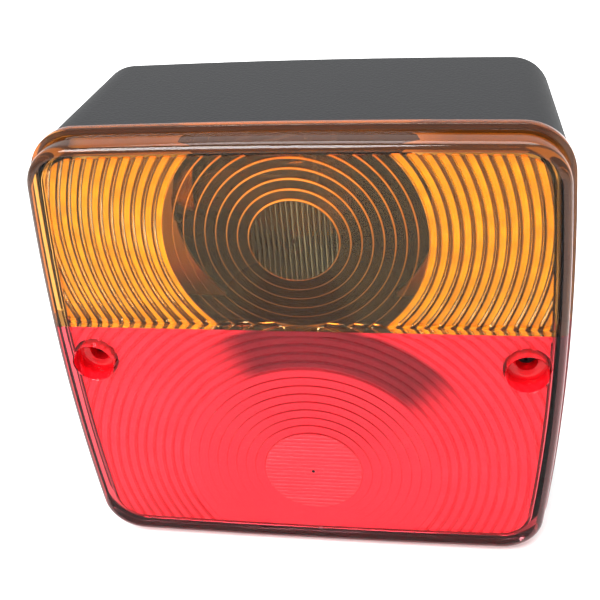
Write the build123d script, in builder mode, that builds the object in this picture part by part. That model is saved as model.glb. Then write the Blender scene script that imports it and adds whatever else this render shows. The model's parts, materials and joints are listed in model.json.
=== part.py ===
"""Square rear lamp for a trailer: amber indicator over red stop and tail light.

Millimetres. The origin is the middle of the mounting face. +Y points out of the back, along
the studs, the lens looks along -Y, +X is to the right of someone facing the lens, +Z is up.
"Ahead" is the distance in front of the mounting face, so ahead = -y.
"""

import os
from math import asin, atan, cos, degrees, pi, radians, sin, sqrt

from build123d import *

os.makedirs("parts", exist_ok=True)

# Outside of the lamp. Width and height are taken across the lens flange, at mid side.
WIDTH = 104.0
HEIGHT = 99.0
DEPTH = 48.0
SIDE_BOW = 2.4
TOP_BOW = 0.6
CORNER_RADIUS = 10.0

# Housing shell
BACK_WALL = 3.0
SIDE_WALL = 2.4
BACK_INSET = 1.9
RIM_INSET = 0.5
RIM_GAP = 0.6
RIM_LAND = 4.2
RIM_LEDGE_DEPTH = 4.0
BACK_ROUND = 2.5
RIM_ROUND = 0.5
PARTITION_Z = 7.5
PARTITION_WALL = 2.0
PARTITION_DEPTH = 6.0
PARTITION_WINDOW_HEIGHT = 3.0

# Lens shell
LENS_WALL = 2.6
SKIRT_INSET = 1.1
SKIRT_WALL = 2.2
FLANGE_THICKNESS = 2.0
LENS_DEPTH = 8.0
FRONT_ROUND = 1.6
COLOUR_JOINT_Z = 9.2

# Lens gasket
GASKET_WIDTH = 1.2
GASKET_GROOVE = 1.2
GASKET_INSET = 1.5

# Lens screws and the wells that hide them
WELL_TO_GASKET = 0.8
SCREW_Z = 0.0
WELL_RADIUS = 4.2
WELL_WALL = 0.5
WELL_GAP = 0.2
WELL_DEPTH = 4.0
WELL_CONE_DEPTH = 0.6
WELL_SEAT_RADIUS = 3.3
SCREW_BORE_RADIUS = 2.15
HEAD_SEAT_DEPTH = 9.2
BOSS_DEPTH = 12.0
BOSS_RADIUS = 4.5
BOSS_HOLE_RADIUS = 1.5
SCREW_HEAD_RADIUS = 2.0
SCREW_HEAD_HEIGHT = 1.8
SCREW_RADIUS = 1.45
SCREW_REACH = 16.0
SCREW_HOLE_DEPTH = 20.0
SCREW_CLEARANCE = 0.15
SEAL_THICKNESS = 0.8

# Mounting studs and cable inlet
STUD_SPACING = 50.0
STUD_RADIUS = 2.5
STUD_NECK_RADIUS = 2.8
STUD_LENGTH = 18.0
STUD_POINT = 0.5
STUD_HEAD_ACROSS_FLATS = 8.0
STUD_HEAD_HEIGHT = 3.4
GROMMET_X = 20.0
GROMMET_Z = -28.0
GROMMET_HOLE_RADIUS = 6.0
GROMMET_FLANGE_RADIUS = 8.3
GROMMET_INNER_FLANGE_RADIUS = 7.3
GROMMET_FLANGE_THICKNESS = 1.5
CABLE_RADIUS = 3.5

# Optical centres above the middle of the lamp, and the bulbs that stand there
AMBER_Z = 28.0
RED_Z = -29.0
HOLDER_TO_FLANGE = 1.4

# Reflectors
REFLECTOR_DEPTH = 14.0
REFLECTOR_SHEET = 0.8
AMBER_DISH_RADIUS = 25.0
RED_DISH_RADIUS = 26.0
REFLECTOR_GAP = 0.5
REFLECTOR_RIVET_RADIUS = 1.0
REFLECTOR_RIVET_HEAD = 1.5
REFLECTOR_RIVET_HEAD_HEIGHT = 0.8
REFLECTOR_RIVET_REACH = 5.0
POST_HOLE_DEPTH = 6.0
POST_RADIUS = 2.4
POST_EDGE = 10.0
POST_BASE_EDGE = 9.0
AMBER_POST_RISE = 5.5
RED_POST_X = 13.1
RED_POST_DROP = 9.9

# Bayonet bulbs, along X, with the cap to the left
CAP_RADIUS = 7.5
CAP_WALL = 0.4
PIN_RADIUS = 1.0
PIN_REACH = 8.5
PIN_TO_FILAMENT = 31.75
CAP_TO_PIN = 6.75
CAP_LENGTH = 17.0
BASE_DOME = 1.2
CONTACT_BUMP = 0.8
GLASS_RADIUS = 13.25
GLASS_TIP_X = 12.5
GLASS_NECK_RADIUS = 6.6
GLASS_WALL = 0.8
TAIL_PIN_STAGGER = 3.0
TWO_CONTACT_OFFSET = 3.0

# Bayonet holders
SHELL_CLEARANCE = 0.2
SHELL_WALL = 0.6
SHELL_MOUTH_X = -26.0
HOLDER_TO_WALL = 1.1
SLOT_CLEARANCE = 0.15
PUSH_TRAVEL = 1.5
TWIST_ANGLE = 24.0
HOLDER_BASE_THICKNESS = 1.0
DISC_THICKNESS = 1.0
DISC_CLEARANCE = 0.2
CONTACT_GAP = 0.1
TIP_RADIUS = 1.5
SPRING_WIRE = 0.5
SPRING_TURNS = 3.0
SPRING_RADIUS = 2.2
BRACKET_X = -37.0
BRACKET_SHEET = 1.0
BRACKET_SIDE_MARGIN = 1.2
BRACKET_FOOT = 11.0
BRACKET_TOP_MARGIN = 0.9

# Conductors on the inside of the back wall
STRIP = 0.6
STRIP_WIDTH = 1.6
STRIP_PAD = 2.4
STRIP_GAP = 0.6
STRIP_CLEARANCE = 0.4
WINDOW_CLEARANCE = 1.0
ROUTE_SIDE_EDGE = 10.4
ROUTE_TOP_EDGE = 6.9
STOP_STRIP_GAP = 1.8
BLOCK_OVERHANG = 2.0
FOOT_RIVET_RADIUS = 1.25
FOOT_RIVET_HEAD = 2.2
FOOT_RIVET_HEAD_HEIGHT = 1.0
FOOT_RIVET_DEPTH = 2.2
FOOT_RIVET_IN = 4.5
FOOT_RIVET_OFFSET = 6.0
EARTH_HALF_WIDTH = 2.3
BLOCK_EDGE = 14.0
BLOCK_Z = -20.0
BLOCK_WIDTH = 12.0
BLOCK_HEIGHT = 26.0
BLOCK_THICKNESS = 10.0
TERMINALS = 4
TERMINAL_SCREW_RADIUS = 1.5
TERMINAL_HEAD_RADIUS = 2.4
TERMINAL_HEAD_HEIGHT = 1.6

SLIDE_GAP = 0.05
TOP = HEIGHT / 2
FLOOR = BACK_WALL
FLANGE_AHEAD = DEPTH - LENS_DEPTH
RIM_AHEAD = FLANGE_AHEAD - RIM_GAP
PARTITION_AHEAD = DEPTH - PARTITION_DEPTH
SCREW_X = WIDTH / 2 - GASKET_INSET - GASKET_WIDTH - WELL_TO_GASKET - WELL_WALL - WELL_RADIUS
HEAD_SEAT_AHEAD = DEPTH - HEAD_SEAT_DEPTH
BOSS_AHEAD = DEPTH - BOSS_DEPTH
REFLECTOR_AHEAD = DEPTH - REFLECTOR_DEPTH
POST_X = WIDTH / 2 - POST_EDGE
AMBER_RIVETS = [(-POST_X, PARTITION_Z + AMBER_POST_RISE), (POST_X, PARTITION_Z + AMBER_POST_RISE)]
RED_RIVETS = [
    (-RED_POST_X, PARTITION_Z - RED_POST_DROP),
    (RED_POST_X, PARTITION_Z - RED_POST_DROP),
    (POST_X, -TOP + POST_BASE_EDGE),
]
BLOCK_X = WIDTH / 2 - BLOCK_EDGE
FLANGE_FRONT = FLANGE_AHEAD + FLANGE_THICKNESS
PIN_X = -PIN_TO_FILAMENT
CAP_END_X = PIN_X - CAP_TO_PIN
CONTACT_X = CAP_END_X - BASE_DOME - CONTACT_BUMP
DISC_FRONT_X = CONTACT_X - CONTACT_GAP
SHELL_INNER = CAP_RADIUS + SHELL_CLEARANCE
SHELL_OUTER = SHELL_INNER + SHELL_WALL
SHELL_BASE_X = -(WIDTH / 2 - BACK_INSET - SIDE_WALL - HOLDER_TO_WALL)
BULB_AHEAD = REFLECTOR_AHEAD - REFLECTOR_SHEET - HOLDER_TO_FLANGE - SHELL_OUTER
BRACKET_HALF_WIDTH = SHELL_OUTER + BRACKET_SIDE_MARGIN
BRACKET_TOP = SHELL_OUTER + BRACKET_TOP_MARGIN
BASE_FRONT_X = SHELL_BASE_X + HOLDER_BASE_THICKNESS
SPRING_SEAT_X = BASE_FRONT_X + STRIP
TERMINAL_PITCH = BLOCK_HEIGHT / TERMINALS
HOLDERS = {"indicator": AMBER_Z, "stop_tail": RED_Z}


def ahead(distance):
    """Sketch plane parallel to the mounting face. Local x is X, local y is Z."""
    return Plane.XZ.offset(distance)


def along_bulb(x, z):
    """Sketch plane across a bulb's axis. Local x is Y, local y is Z, from the axis."""
    return Plane(origin=(x, -BULB_AHEAD, z), x_dir=(0, 1, 0), z_dir=(1, 0, 0))


def bulb_profile_plane(z):
    """Plane through a bulb's axis, for profiles to turn. Local x is X, local y is Z."""
    return Plane(origin=(0, -BULB_AHEAD, z), x_dir=(1, 0, 0), z_dir=(0, -1, 0))


def bulb_axis(z):
    """The line that a bulb and its holder are round about."""
    return Axis((0, -BULB_AHEAD, z), (1, 0, 0))


def bowed_square(inset):
    """The lamp's outline, inset all round: a square with bowed sides and round corners."""
    side = WIDTH / 2 - inset
    top = HEIGHT / 2 - inset
    corner_x = side - SIDE_BOW
    corner_z = top - TOP_BOW
    with BuildSketch(Plane.XY) as outline:
        with BuildLine():
            ThreePointArc((corner_x, -corner_z), (side, 0), (corner_x, corner_z))
            ThreePointArc((corner_x, corner_z), (0, top), (-corner_x, corner_z))
            ThreePointArc((-corner_x, corner_z), (-side, 0), (-corner_x, -corner_z))
            ThreePointArc((-corner_x, -corner_z), (0, -top), (corner_x, -corner_z))
        make_face()
        fillet(outline.vertices(), CORNER_RADIUS - inset)
    return outline.sketch


def finish(piece, name):
    """Names a piece and writes its own solid file."""
    piece.part.label = name
    export_step(piece.part, f"parts/{name}.step")


OUTER_BACK = bowed_square(BACK_INSET)
OUTER_RIM = bowed_square(RIM_INSET)
INNER_BACK = bowed_square(BACK_INSET + SIDE_WALL)
INNER_RIM = bowed_square(RIM_INSET + SIDE_WALL)
LEDGE = bowed_square(RIM_INSET + RIM_LAND)
GASKET_OUTER = bowed_square(GASKET_INSET)
GASKET_INNER = bowed_square(GASKET_INSET + GASKET_WIDTH)
FLANGE_OUTLINE = bowed_square(0)
SKIRT_OUTLINE = bowed_square(SKIRT_INSET)
SKIRT_INNER = bowed_square(SKIRT_INSET + SKIRT_WALL)
REFLECTOR_OUTLINE = bowed_square(RIM_INSET + RIM_LAND + REFLECTOR_GAP)


# ---------------------------------------------------------------- housing
PARTITION_LOW = PARTITION_Z - PARTITION_WALL / 2
PARTITION_HIGH = PARTITION_Z + PARTITION_WALL / 2
LEDGE_AHEAD = RIM_AHEAD - RIM_LEDGE_DEPTH
PARTITION_HALF_WIDTH = WIDTH / 2 - RIM_INSET - RIM_LAND - REFLECTOR_GAP
PARTITION_BACK_HALF = WIDTH / 2 - BACK_INSET - SIDE_WALL / 2
POST_TOP = REFLECTOR_AHEAD - REFLECTOR_SHEET
FOOT_RIVET_X = BRACKET_X + FOOT_RIVET_IN
INDICATOR_DOWN_X = BLOCK_X - BLOCK_OVERHANG

with BuildPart() as housing:
    with BuildSketch(ahead(0)):
        add(OUTER_BACK)
    with BuildSketch(ahead(RIM_AHEAD)):
        add(OUTER_RIM)
    loft(ruled=True)
    fillet(housing.faces().sort_by(Axis.Y)[-1].edges(), BACK_ROUND)
    fillet(housing.faces().sort_by(Axis.Y)[0].edges(), RIM_ROUND)
    with BuildSketch(ahead(FLOOR)):
        add(INNER_BACK)
    with BuildSketch(ahead(LEDGE_AHEAD)):
        add(INNER_RIM)
    loft(ruled=True, mode=Mode.SUBTRACT)
    with BuildSketch(ahead(LEDGE_AHEAD)):
        add(LEDGE)
    extrude(amount=DEPTH, mode=Mode.SUBTRACT)
    with BuildSketch(ahead(BOSS_AHEAD)):
        with Locations((-SCREW_X, SCREW_Z), (SCREW_X, SCREW_Z)):
            Circle(WELL_RADIUS + WELL_WALL + WELL_GAP)
    extrude(amount=DEPTH, mode=Mode.SUBTRACT)
    with BuildSketch(ahead(RIM_AHEAD)):
        add(GASKET_OUTER)
        add(GASKET_INNER, mode=Mode.SUBTRACT)
    extrude(amount=-GASKET_GROOVE, mode=Mode.SUBTRACT)
    # Wall between the two chambers, with windows for the conductors along the back wall
    with BuildSketch(Plane.XY.offset(PARTITION_LOW)):
        with BuildLine():
            Polyline(
                (-PARTITION_BACK_HALF, -FLOOR / 2),
                (PARTITION_BACK_HALF, -FLOOR / 2),
                (PARTITION_BACK_HALF, -LEDGE_AHEAD),
                (PARTITION_HALF_WIDTH, -LEDGE_AHEAD),
                (PARTITION_HALF_WIDTH, -PARTITION_AHEAD),
                (-PARTITION_HALF_WIDTH, -PARTITION_AHEAD),
                (-PARTITION_HALF_WIDTH, -LEDGE_AHEAD),
                (-PARTITION_BACK_HALF, -LEDGE_AHEAD),
                close=True,
            )
        make_face()
    extrude(amount=PARTITION_WALL)
    for window_x, strip_half in {FOOT_RIVET_X: EARTH_HALF_WIDTH, INDICATOR_DOWN_X: STRIP_WIDTH / 2}.items():
        with BuildSketch(ahead(FLOOR)):
            with Locations((window_x, PARTITION_Z)):
                Rectangle(2 * (strip_half + WINDOW_CLEARANCE), PARTITION_WALL)
        extrude(amount=PARTITION_WINDOW_HEIGHT, mode=Mode.SUBTRACT)
    # Bosses for the lens screws
    with BuildSketch(ahead(FLOOR / 2)):
        with Locations((-SCREW_X, SCREW_Z), (SCREW_X, SCREW_Z)):
            Circle(BOSS_RADIUS)
    extrude(amount=BOSS_AHEAD - FLOOR / 2)
    with BuildSketch(ahead(BOSS_AHEAD)):
        with Locations((-SCREW_X, SCREW_Z), (SCREW_X, SCREW_Z)):
            Circle(BOSS_HOLE_RADIUS)
    extrude(amount=-SCREW_HOLE_DEPTH, mode=Mode.SUBTRACT)
    # Posts that carry the reflectors
    with BuildSketch(ahead(FLOOR / 2)):
        with Locations(*AMBER_RIVETS, *RED_RIVETS):
            Circle(POST_RADIUS)
    extrude(amount=POST_TOP - FLOOR / 2)
    with BuildSketch(ahead(POST_TOP)):
        with Locations(*AMBER_RIVETS, *RED_RIVETS):
            Circle(REFLECTOR_RIVET_RADIUS)
    extrude(amount=-POST_HOLE_DEPTH, mode=Mode.SUBTRACT)
    # Stud holes, cable inlet and blind holes for the bracket rivets
    with BuildSketch(ahead(0)):
        with Locations((-STUD_SPACING / 2, 0), (STUD_SPACING / 2, 0)):
            Circle(STUD_NECK_RADIUS)
        with Locations((GROMMET_X, GROMMET_Z)):
            Circle(GROMMET_HOLE_RADIUS)
    extrude(amount=FLOOR, mode=Mode.SUBTRACT)
    with BuildSketch(ahead(FLOOR)):
        for holder_z in HOLDERS.values():
            with Locations(
                (FOOT_RIVET_X, holder_z - FOOT_RIVET_OFFSET),
                (FOOT_RIVET_X, holder_z + FOOT_RIVET_OFFSET),
            ):
                Circle(FOOT_RIVET_RADIUS)
    extrude(amount=-FOOT_RIVET_DEPTH, mode=Mode.SUBTRACT)
finish(housing, "housing")

with BuildPart() as lens_gasket:
    with BuildSketch(ahead(RIM_AHEAD - GASKET_GROOVE)):
        add(GASKET_OUTER)
        add(GASKET_INNER, mode=Mode.SUBTRACT)
    extrude(amount=FLANGE_AHEAD - RIM_AHEAD + GASKET_GROOVE)
finish(lens_gasket, "lens_gasket")


# ---------------------------------------------------------------- lens
SCREWS = {"left": -SCREW_X, "right": SCREW_X}

with BuildPart() as lens:
    with BuildSketch(ahead(FLANGE_AHEAD)):
        add(FLANGE_OUTLINE)
    extrude(amount=FLANGE_THICKNESS)
    with BuildSketch(ahead(FLANGE_FRONT)):
        add(SKIRT_OUTLINE)
    extrude(amount=DEPTH - FLANGE_FRONT)
    fillet(lens.faces().sort_by(Axis.Y)[0].edges(), FRONT_ROUND)
    with BuildSketch(ahead(FLANGE_AHEAD)):
        add(SKIRT_INNER)
    extrude(amount=DEPTH - LENS_WALL - FLANGE_AHEAD, mode=Mode.SUBTRACT)
    with BuildSketch(ahead(BOSS_AHEAD)):
        with Locations(*[(x, SCREW_Z) for x in SCREWS.values()]):
            Circle(WELL_RADIUS + WELL_WALL)
    extrude(amount=DEPTH - LENS_WALL / 2 - BOSS_AHEAD)
    for x in SCREWS.values():
        with BuildSketch(Plane(origin=(x, 0, SCREW_Z), x_dir=(1, 0, 0), z_dir=(0, 0, 1))):
            with BuildLine():
                Polyline(
                    (0, -DEPTH),
                    (WELL_RADIUS, -DEPTH),
                    (WELL_RADIUS, -DEPTH + WELL_DEPTH),
                    (WELL_SEAT_RADIUS, -DEPTH + WELL_DEPTH),
                    (SCREW_BORE_RADIUS, -DEPTH + WELL_DEPTH + WELL_CONE_DEPTH),
                    (SCREW_BORE_RADIUS, -HEAD_SEAT_AHEAD),
                    (SCREW_RADIUS + SCREW_CLEARANCE, -HEAD_SEAT_AHEAD),
                    (SCREW_RADIUS + SCREW_CLEARANCE, -BOSS_AHEAD),
                    (0, -BOSS_AHEAD),
                    close=True,
                )
            make_face()
        revolve(axis=Axis((x, 0, SCREW_Z), (0, 1, 0)), mode=Mode.SUBTRACT)

with BuildPart() as amber_lens:
    add(lens.part)
    split(bisect_by=Plane.XY.offset(COLOUR_JOINT_Z), keep=Keep.TOP)
finish(amber_lens, "amber_lens")

with BuildPart() as red_lens:
    add(lens.part)
    split(bisect_by=Plane.XY.offset(COLOUR_JOINT_Z), keep=Keep.BOTTOM)
finish(red_lens, "red_lens")

HEAD_BACK = HEAD_SEAT_AHEAD + SEAL_THICKNESS
for side, x in SCREWS.items():
    with BuildPart() as seal:
        with BuildSketch(ahead(HEAD_SEAT_AHEAD)):
            with Locations((x, SCREW_Z)):
                Circle(SCREW_HEAD_RADIUS)
                Circle(SCREW_RADIUS + SLIDE_GAP, mode=Mode.SUBTRACT)
        extrude(amount=SEAL_THICKNESS)
    finish(seal, f"{side}_screw_seal")

    with BuildPart() as screw:
        with BuildSketch(ahead(HEAD_BACK)):
            with Locations((x, SCREW_Z)):
                Circle(SCREW_HEAD_RADIUS)
        extrude(amount=SCREW_HEAD_HEIGHT)
        chamfer(screw.faces().sort_by(Axis.Y)[0].edges(), SCREW_HEAD_HEIGHT / 8)
        with BuildSketch(ahead(HEAD_BACK + SCREW_HEAD_HEIGHT)):
            for turn in (0, 90):
                with Locations(Location((x, SCREW_Z, 0), (0, 0, turn))):
                    SlotOverall(SCREW_HEAD_RADIUS * 1.3, SCREW_HEAD_RADIUS * 0.35)
        extrude(amount=-SCREW_HEAD_HEIGHT / 2, mode=Mode.SUBTRACT)
        with BuildSketch(ahead(HEAD_BACK)):
            with Locations((x, SCREW_Z)):
                Circle(SCREW_RADIUS)
        extrude(amount=-(HEAD_BACK - BOSS_AHEAD + SCREW_REACH))
        chamfer(screw.faces().sort_by(Axis.Y)[-1].edges(), SCREW_RADIUS / 2)
    finish(screw, f"{side}_lens_screw")


# ---------------------------------------------------------------- reflectors
REFLECTOR_TOP = TOP - RIM_INSET - RIM_LAND - REFLECTOR_GAP - TOP_BOW
REFLECTOR_INNER_GAP = REFLECTOR_GAP + TOP_BOW
AMBER_REFLECTOR_LOW = PARTITION_HIGH + REFLECTOR_INNER_GAP
RED_REFLECTOR_HIGH = PARTITION_LOW - REFLECTOR_INNER_GAP
REFLECTORS = {
    "amber": (AMBER_Z, AMBER_DISH_RADIUS, AMBER_RIVETS, AMBER_REFLECTOR_LOW, REFLECTOR_TOP),
    "red": (RED_Z, RED_DISH_RADIUS, RED_RIVETS, -REFLECTOR_TOP, RED_REFLECTOR_HIGH),
}

for colour, (z, radius, rivets, low, high) in REFLECTORS.items():
    section = Plane(origin=(0, 0, z), x_dir=(1, 0, 0), z_dir=(0, 0, 1))
    with BuildPart() as reflector:
        # The dish is half a ball of sheet, centred on the front of the flange
        with BuildSketch(section):
            with BuildLine():
                CenterArc((0, -REFLECTOR_AHEAD), radius + REFLECTOR_SHEET, 0, 90)
                Line((0, radius + REFLECTOR_SHEET - REFLECTOR_AHEAD), (0, radius - REFLECTOR_AHEAD))
                CenterArc((0, -REFLECTOR_AHEAD), radius, 0, 90)
                Line((radius, -REFLECTOR_AHEAD), (radius + REFLECTOR_SHEET, -REFLECTOR_AHEAD))
            make_face()
        revolve(axis=Axis((0, 0, z), (0, 1, 0)))
        with BuildSketch(ahead(0)):
            with Locations((0, (low + high) / 2)):
                Rectangle(WIDTH, high - low)
        extrude(amount=DEPTH, mode=Mode.INTERSECT)
        # Way in for the bulb and its holder, behind the flange
        with BuildSketch(along_bulb(-WIDTH / 2, z)):
            Circle(SHELL_OUTER + 2 * REFLECTOR_GAP + PUSH_TRAVEL)
        extrude(amount=WIDTH / 2, mode=Mode.SUBTRACT)
        with BuildSketch(ahead(POST_TOP)):
            add(REFLECTOR_OUTLINE)
            with Locations((0, (low + high) / 2)):
                Rectangle(WIDTH, high - low + 2 * TOP_BOW, mode=Mode.INTERSECT)
            with Locations((0, z)):
                Circle(radius + REFLECTOR_SHEET / 2, mode=Mode.SUBTRACT)
        extrude(amount=REFLECTOR_SHEET)
        # Clearance around the lens bosses, and the rivet holes
        with BuildSketch(ahead(0)):
            with Locations((-SCREW_X, SCREW_Z), (SCREW_X, SCREW_Z)):
                Circle(BOSS_RADIUS + REFLECTOR_GAP)
            with Locations(*rivets):
                Circle(REFLECTOR_RIVET_RADIUS)
        extrude(amount=DEPTH, mode=Mode.SUBTRACT)
    finish(reflector, f"{colour}_reflector")

with BuildPart() as reflector_rivets:
    with BuildSketch(ahead(REFLECTOR_AHEAD)):
        with Locations(*AMBER_RIVETS, *RED_RIVETS):
            Circle(REFLECTOR_RIVET_HEAD)
    extrude(amount=REFLECTOR_RIVET_HEAD_HEIGHT)
    fillet(reflector_rivets.faces().group_by(Axis.Y)[0].edges(), REFLECTOR_RIVET_HEAD_HEIGHT / 2)
    with BuildSketch(ahead(REFLECTOR_AHEAD)):
        with Locations(*AMBER_RIVETS, *RED_RIVETS):
            Circle(REFLECTOR_RIVET_RADIUS)
    extrude(amount=-REFLECTOR_RIVET_REACH)
finish(reflector_rivets, "reflector_rivets")


# ---------------------------------------------------------------- mounting
with BuildPart() as mounting_studs:
    with BuildSketch(ahead(FLOOR)):
        with Locations((-STUD_SPACING / 2, 0), (STUD_SPACING / 2, 0)):
            RegularPolygon(STUD_HEAD_ACROSS_FLATS / 2, 6, major_radius=False)
    extrude(amount=STUD_HEAD_HEIGHT)
    # The neck is pressed into the back wall, so it is a little thicker than the thread
    with BuildSketch(ahead(FLOOR)):
        with Locations((-STUD_SPACING / 2, 0), (STUD_SPACING / 2, 0)):
            Circle(STUD_NECK_RADIUS)
    extrude(amount=-FLOOR)
    with BuildSketch(ahead(0)):
        with Locations((-STUD_SPACING / 2, 0), (STUD_SPACING / 2, 0)):
            Circle(STUD_RADIUS)
    extrude(amount=-STUD_LENGTH)
    chamfer(mounting_studs.faces().group_by(Axis.Y)[-1].edges(), STUD_POINT)
finish(mounting_studs, "mounting_studs")

with BuildPart() as cable_grommet:
    with BuildSketch(ahead(-GROMMET_FLANGE_THICKNESS)):
        with Locations((GROMMET_X, GROMMET_Z)):
            Circle(GROMMET_FLANGE_RADIUS)
    extrude(amount=GROMMET_FLANGE_THICKNESS)
    with BuildSketch(ahead(0)):
        with Locations((GROMMET_X, GROMMET_Z)):
            Circle(GROMMET_HOLE_RADIUS)
    extrude(amount=FLOOR)
    with BuildSketch(ahead(FLOOR)):
        with Locations((GROMMET_X, GROMMET_Z)):
            Circle(GROMMET_INNER_FLANGE_RADIUS)
    extrude(amount=GROMMET_FLANGE_THICKNESS)
    with BuildSketch(ahead(-GROMMET_FLANGE_THICKNESS)):
        with Locations((GROMMET_X, GROMMET_Z)):
            Circle(CABLE_RADIUS)
    extrude(amount=FLOOR + 2 * GROMMET_FLANGE_THICKNESS, mode=Mode.SUBTRACT)
finish(cable_grommet, "cable_grommet")


# ---------------------------------------------------------------- bulb holders
SLOT_HALF = PIN_RADIUS + SLOT_CLEARANCE
SLOT_MARGIN = degrees(SLOT_HALF / SHELL_INNER)
STRIP_NOTCH = 3 * STRIP
FOOT_AHEAD = FLOOR + STRIP


def slot_sector(start, end):
    """Wedge across the shell wall, from one pin angle to another and half a pin more each way."""
    low = radians(start - SLOT_MARGIN)
    high = radians(end + SLOT_MARGIN)
    reach = SHELL_OUTER * 1.6
    Polygon(
        (0, 0),
        (reach * sin(low), reach * cos(low)),
        (reach * sin(high), reach * cos(high)),
        align=None,
    )


for name, z in HOLDERS.items():
    two_contacts = name == "stop_tail"
    pin_steps = {0: 0.0, 180: TAIL_PIN_STAGGER if two_contacts else 0.0}
    contacts = {"indicator": 0.0}
    if two_contacts:
        contacts = {"tail": -TWO_CONTACT_OFFSET, "stop": TWO_CONTACT_OFFSET}
    rivet_places = [(FOOT_RIVET_X, z - FOOT_RIVET_OFFSET), (FOOT_RIVET_X, z + FOOT_RIVET_OFFSET)]

    with BuildPart() as shell:
        with BuildSketch(along_bulb(SHELL_BASE_X, z)):
            Circle(SHELL_OUTER)
            Circle(SHELL_INNER, mode=Mode.SUBTRACT)
        extrude(amount=SHELL_MOUTH_X - SHELL_BASE_X)
        for start, step in pin_steps.items():
            slot_back = PIN_X + step - PUSH_TRAVEL - SLOT_HALF
            with BuildSketch(along_bulb(slot_back, z)):
                slot_sector(start, start + TWIST_ANGLE)
            extrude(amount=PUSH_TRAVEL + 2 * SLOT_HALF, mode=Mode.SUBTRACT)
            with BuildSketch(along_bulb(slot_back, z)):
                slot_sector(start + TWIST_ANGLE, start + TWIST_ANGLE)
            extrude(amount=SHELL_MOUTH_X - slot_back, mode=Mode.SUBTRACT)
        # Gap for the conductors at the base, on the side of the back wall
        with BuildSketch(along_bulb(BASE_FRONT_X, z)):
            with Locations((SHELL_OUTER, 0)):
                Rectangle(SHELL_OUTER, 2 * (max(contacts.values()) + STRIP_PAD / 2 + STRIP_CLEARANCE))
        extrude(amount=STRIP_NOTCH, mode=Mode.SUBTRACT)
    finish(shell, f"{name}_holder_shell")

    with BuildPart() as base:
        with BuildSketch(along_bulb(SHELL_BASE_X, z)):
            Circle(SHELL_INNER)
        extrude(amount=HOLDER_BASE_THICKNESS)
    finish(base, f"{name}_holder_base")

    with BuildPart() as bracket:
        with BuildSketch(along_bulb(BRACKET_X, z)):
            with Locations(((BULB_AHEAD - FOOT_AHEAD - BRACKET_TOP) / 2, 0)):
                Rectangle(BULB_AHEAD - FOOT_AHEAD + BRACKET_TOP, 2 * BRACKET_HALF_WIDTH)
            Circle(SHELL_OUTER, mode=Mode.SUBTRACT)
        extrude(amount=BRACKET_SHEET)
        with BuildSketch(ahead(FOOT_AHEAD)):
            with Locations((BRACKET_X + BRACKET_FOOT / 2, z)):
                Rectangle(BRACKET_FOOT, 2 * BRACKET_HALF_WIDTH)
            with Locations(*rivet_places):
                Circle(FOOT_RIVET_RADIUS, mode=Mode.SUBTRACT)
        extrude(amount=BRACKET_SHEET)
    finish(bracket, f"{name}_bracket")

    with BuildPart() as rivets:
        with BuildSketch(ahead(FOOT_AHEAD + BRACKET_SHEET)):
            with Locations(*rivet_places):
                Circle(FOOT_RIVET_HEAD)
        extrude(amount=FOOT_RIVET_HEAD_HEIGHT)
        with BuildSketch(ahead(FOOT_AHEAD + BRACKET_SHEET)):
            with Locations(*rivet_places):
                Circle(FOOT_RIVET_RADIUS)
        extrude(amount=-(BRACKET_SHEET + STRIP + FOOT_RIVET_DEPTH))
    finish(rivets, f"{name}_bracket_rivets")

    disc_back_x = DISC_FRONT_X - DISC_THICKNESS
    with BuildPart() as disc:
        with BuildSketch(along_bulb(disc_back_x, z)):
            Circle(SHELL_INNER - DISC_CLEARANCE)
            with Locations(*[(0, offset) for offset in contacts.values()]):
                Circle(TIP_RADIUS, mode=Mode.SUBTRACT)
        extrude(amount=DISC_THICKNESS)
    finish(disc, f"{name}_contact_disc")

    for contact, offset in contacts.items():
        with BuildPart() as tip:
            with BuildSketch(along_bulb(disc_back_x, z + offset)):
                Circle(TIP_RADIUS)
            extrude(amount=DISC_THICKNESS)
        finish(tip, f"{contact}_contact_tip")

        coil_length = disc_back_x - SPRING_SEAT_X - SPRING_WIRE
        with BuildPart() as spring:
            with BuildLine():
                coil = Helix(
                    pitch=coil_length / SPRING_TURNS,
                    height=coil_length,
                    radius=SPRING_RADIUS,
                    center=(SPRING_SEAT_X + SPRING_WIRE / 2, -BULB_AHEAD, z + offset),
                    direction=(1, 0, 0),
                )
            with BuildSketch(Plane(origin=coil @ 0, z_dir=coil % 0)):
                Circle(SPRING_WIRE / 2)
            sweep(path=coil, is_frenet=True)
        finish(spring, f"{contact}_contact_spring")


# ---------------------------------------------------------------- bulbs
NECK_IN_CAP = 2.5
SHOULDER_GAP = 0.1
GLASS_OPEN_X = CAP_END_X + CAP_LENGTH - NECK_IN_CAP
GLASS_SHOULDER_X = CAP_END_X + CAP_LENGTH + SHOULDER_GAP
STEM_RADIUS = 2.2
STEM_FLARE_RIM = 0.8
STEM_FLARE_LENGTH = 3.5
STEM_FLARE_RADIUS = 2.6
STEM_TOP_X = -11.0
INSULATOR_THICKNESS = 1.6
INSULATOR_TIP_RADIUS = 5.2
FILAMENT_HALF = 3.5
FILAMENT_RADIUS = 0.4
SUPPORT_RADIUS = 0.25
SUPPORT_FOOT = FILAMENT_HALF / 3
SUPPORT_LEAN = 0.6
TAIL_FILAMENT_PLACE = (3.0, 2.8)


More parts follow.
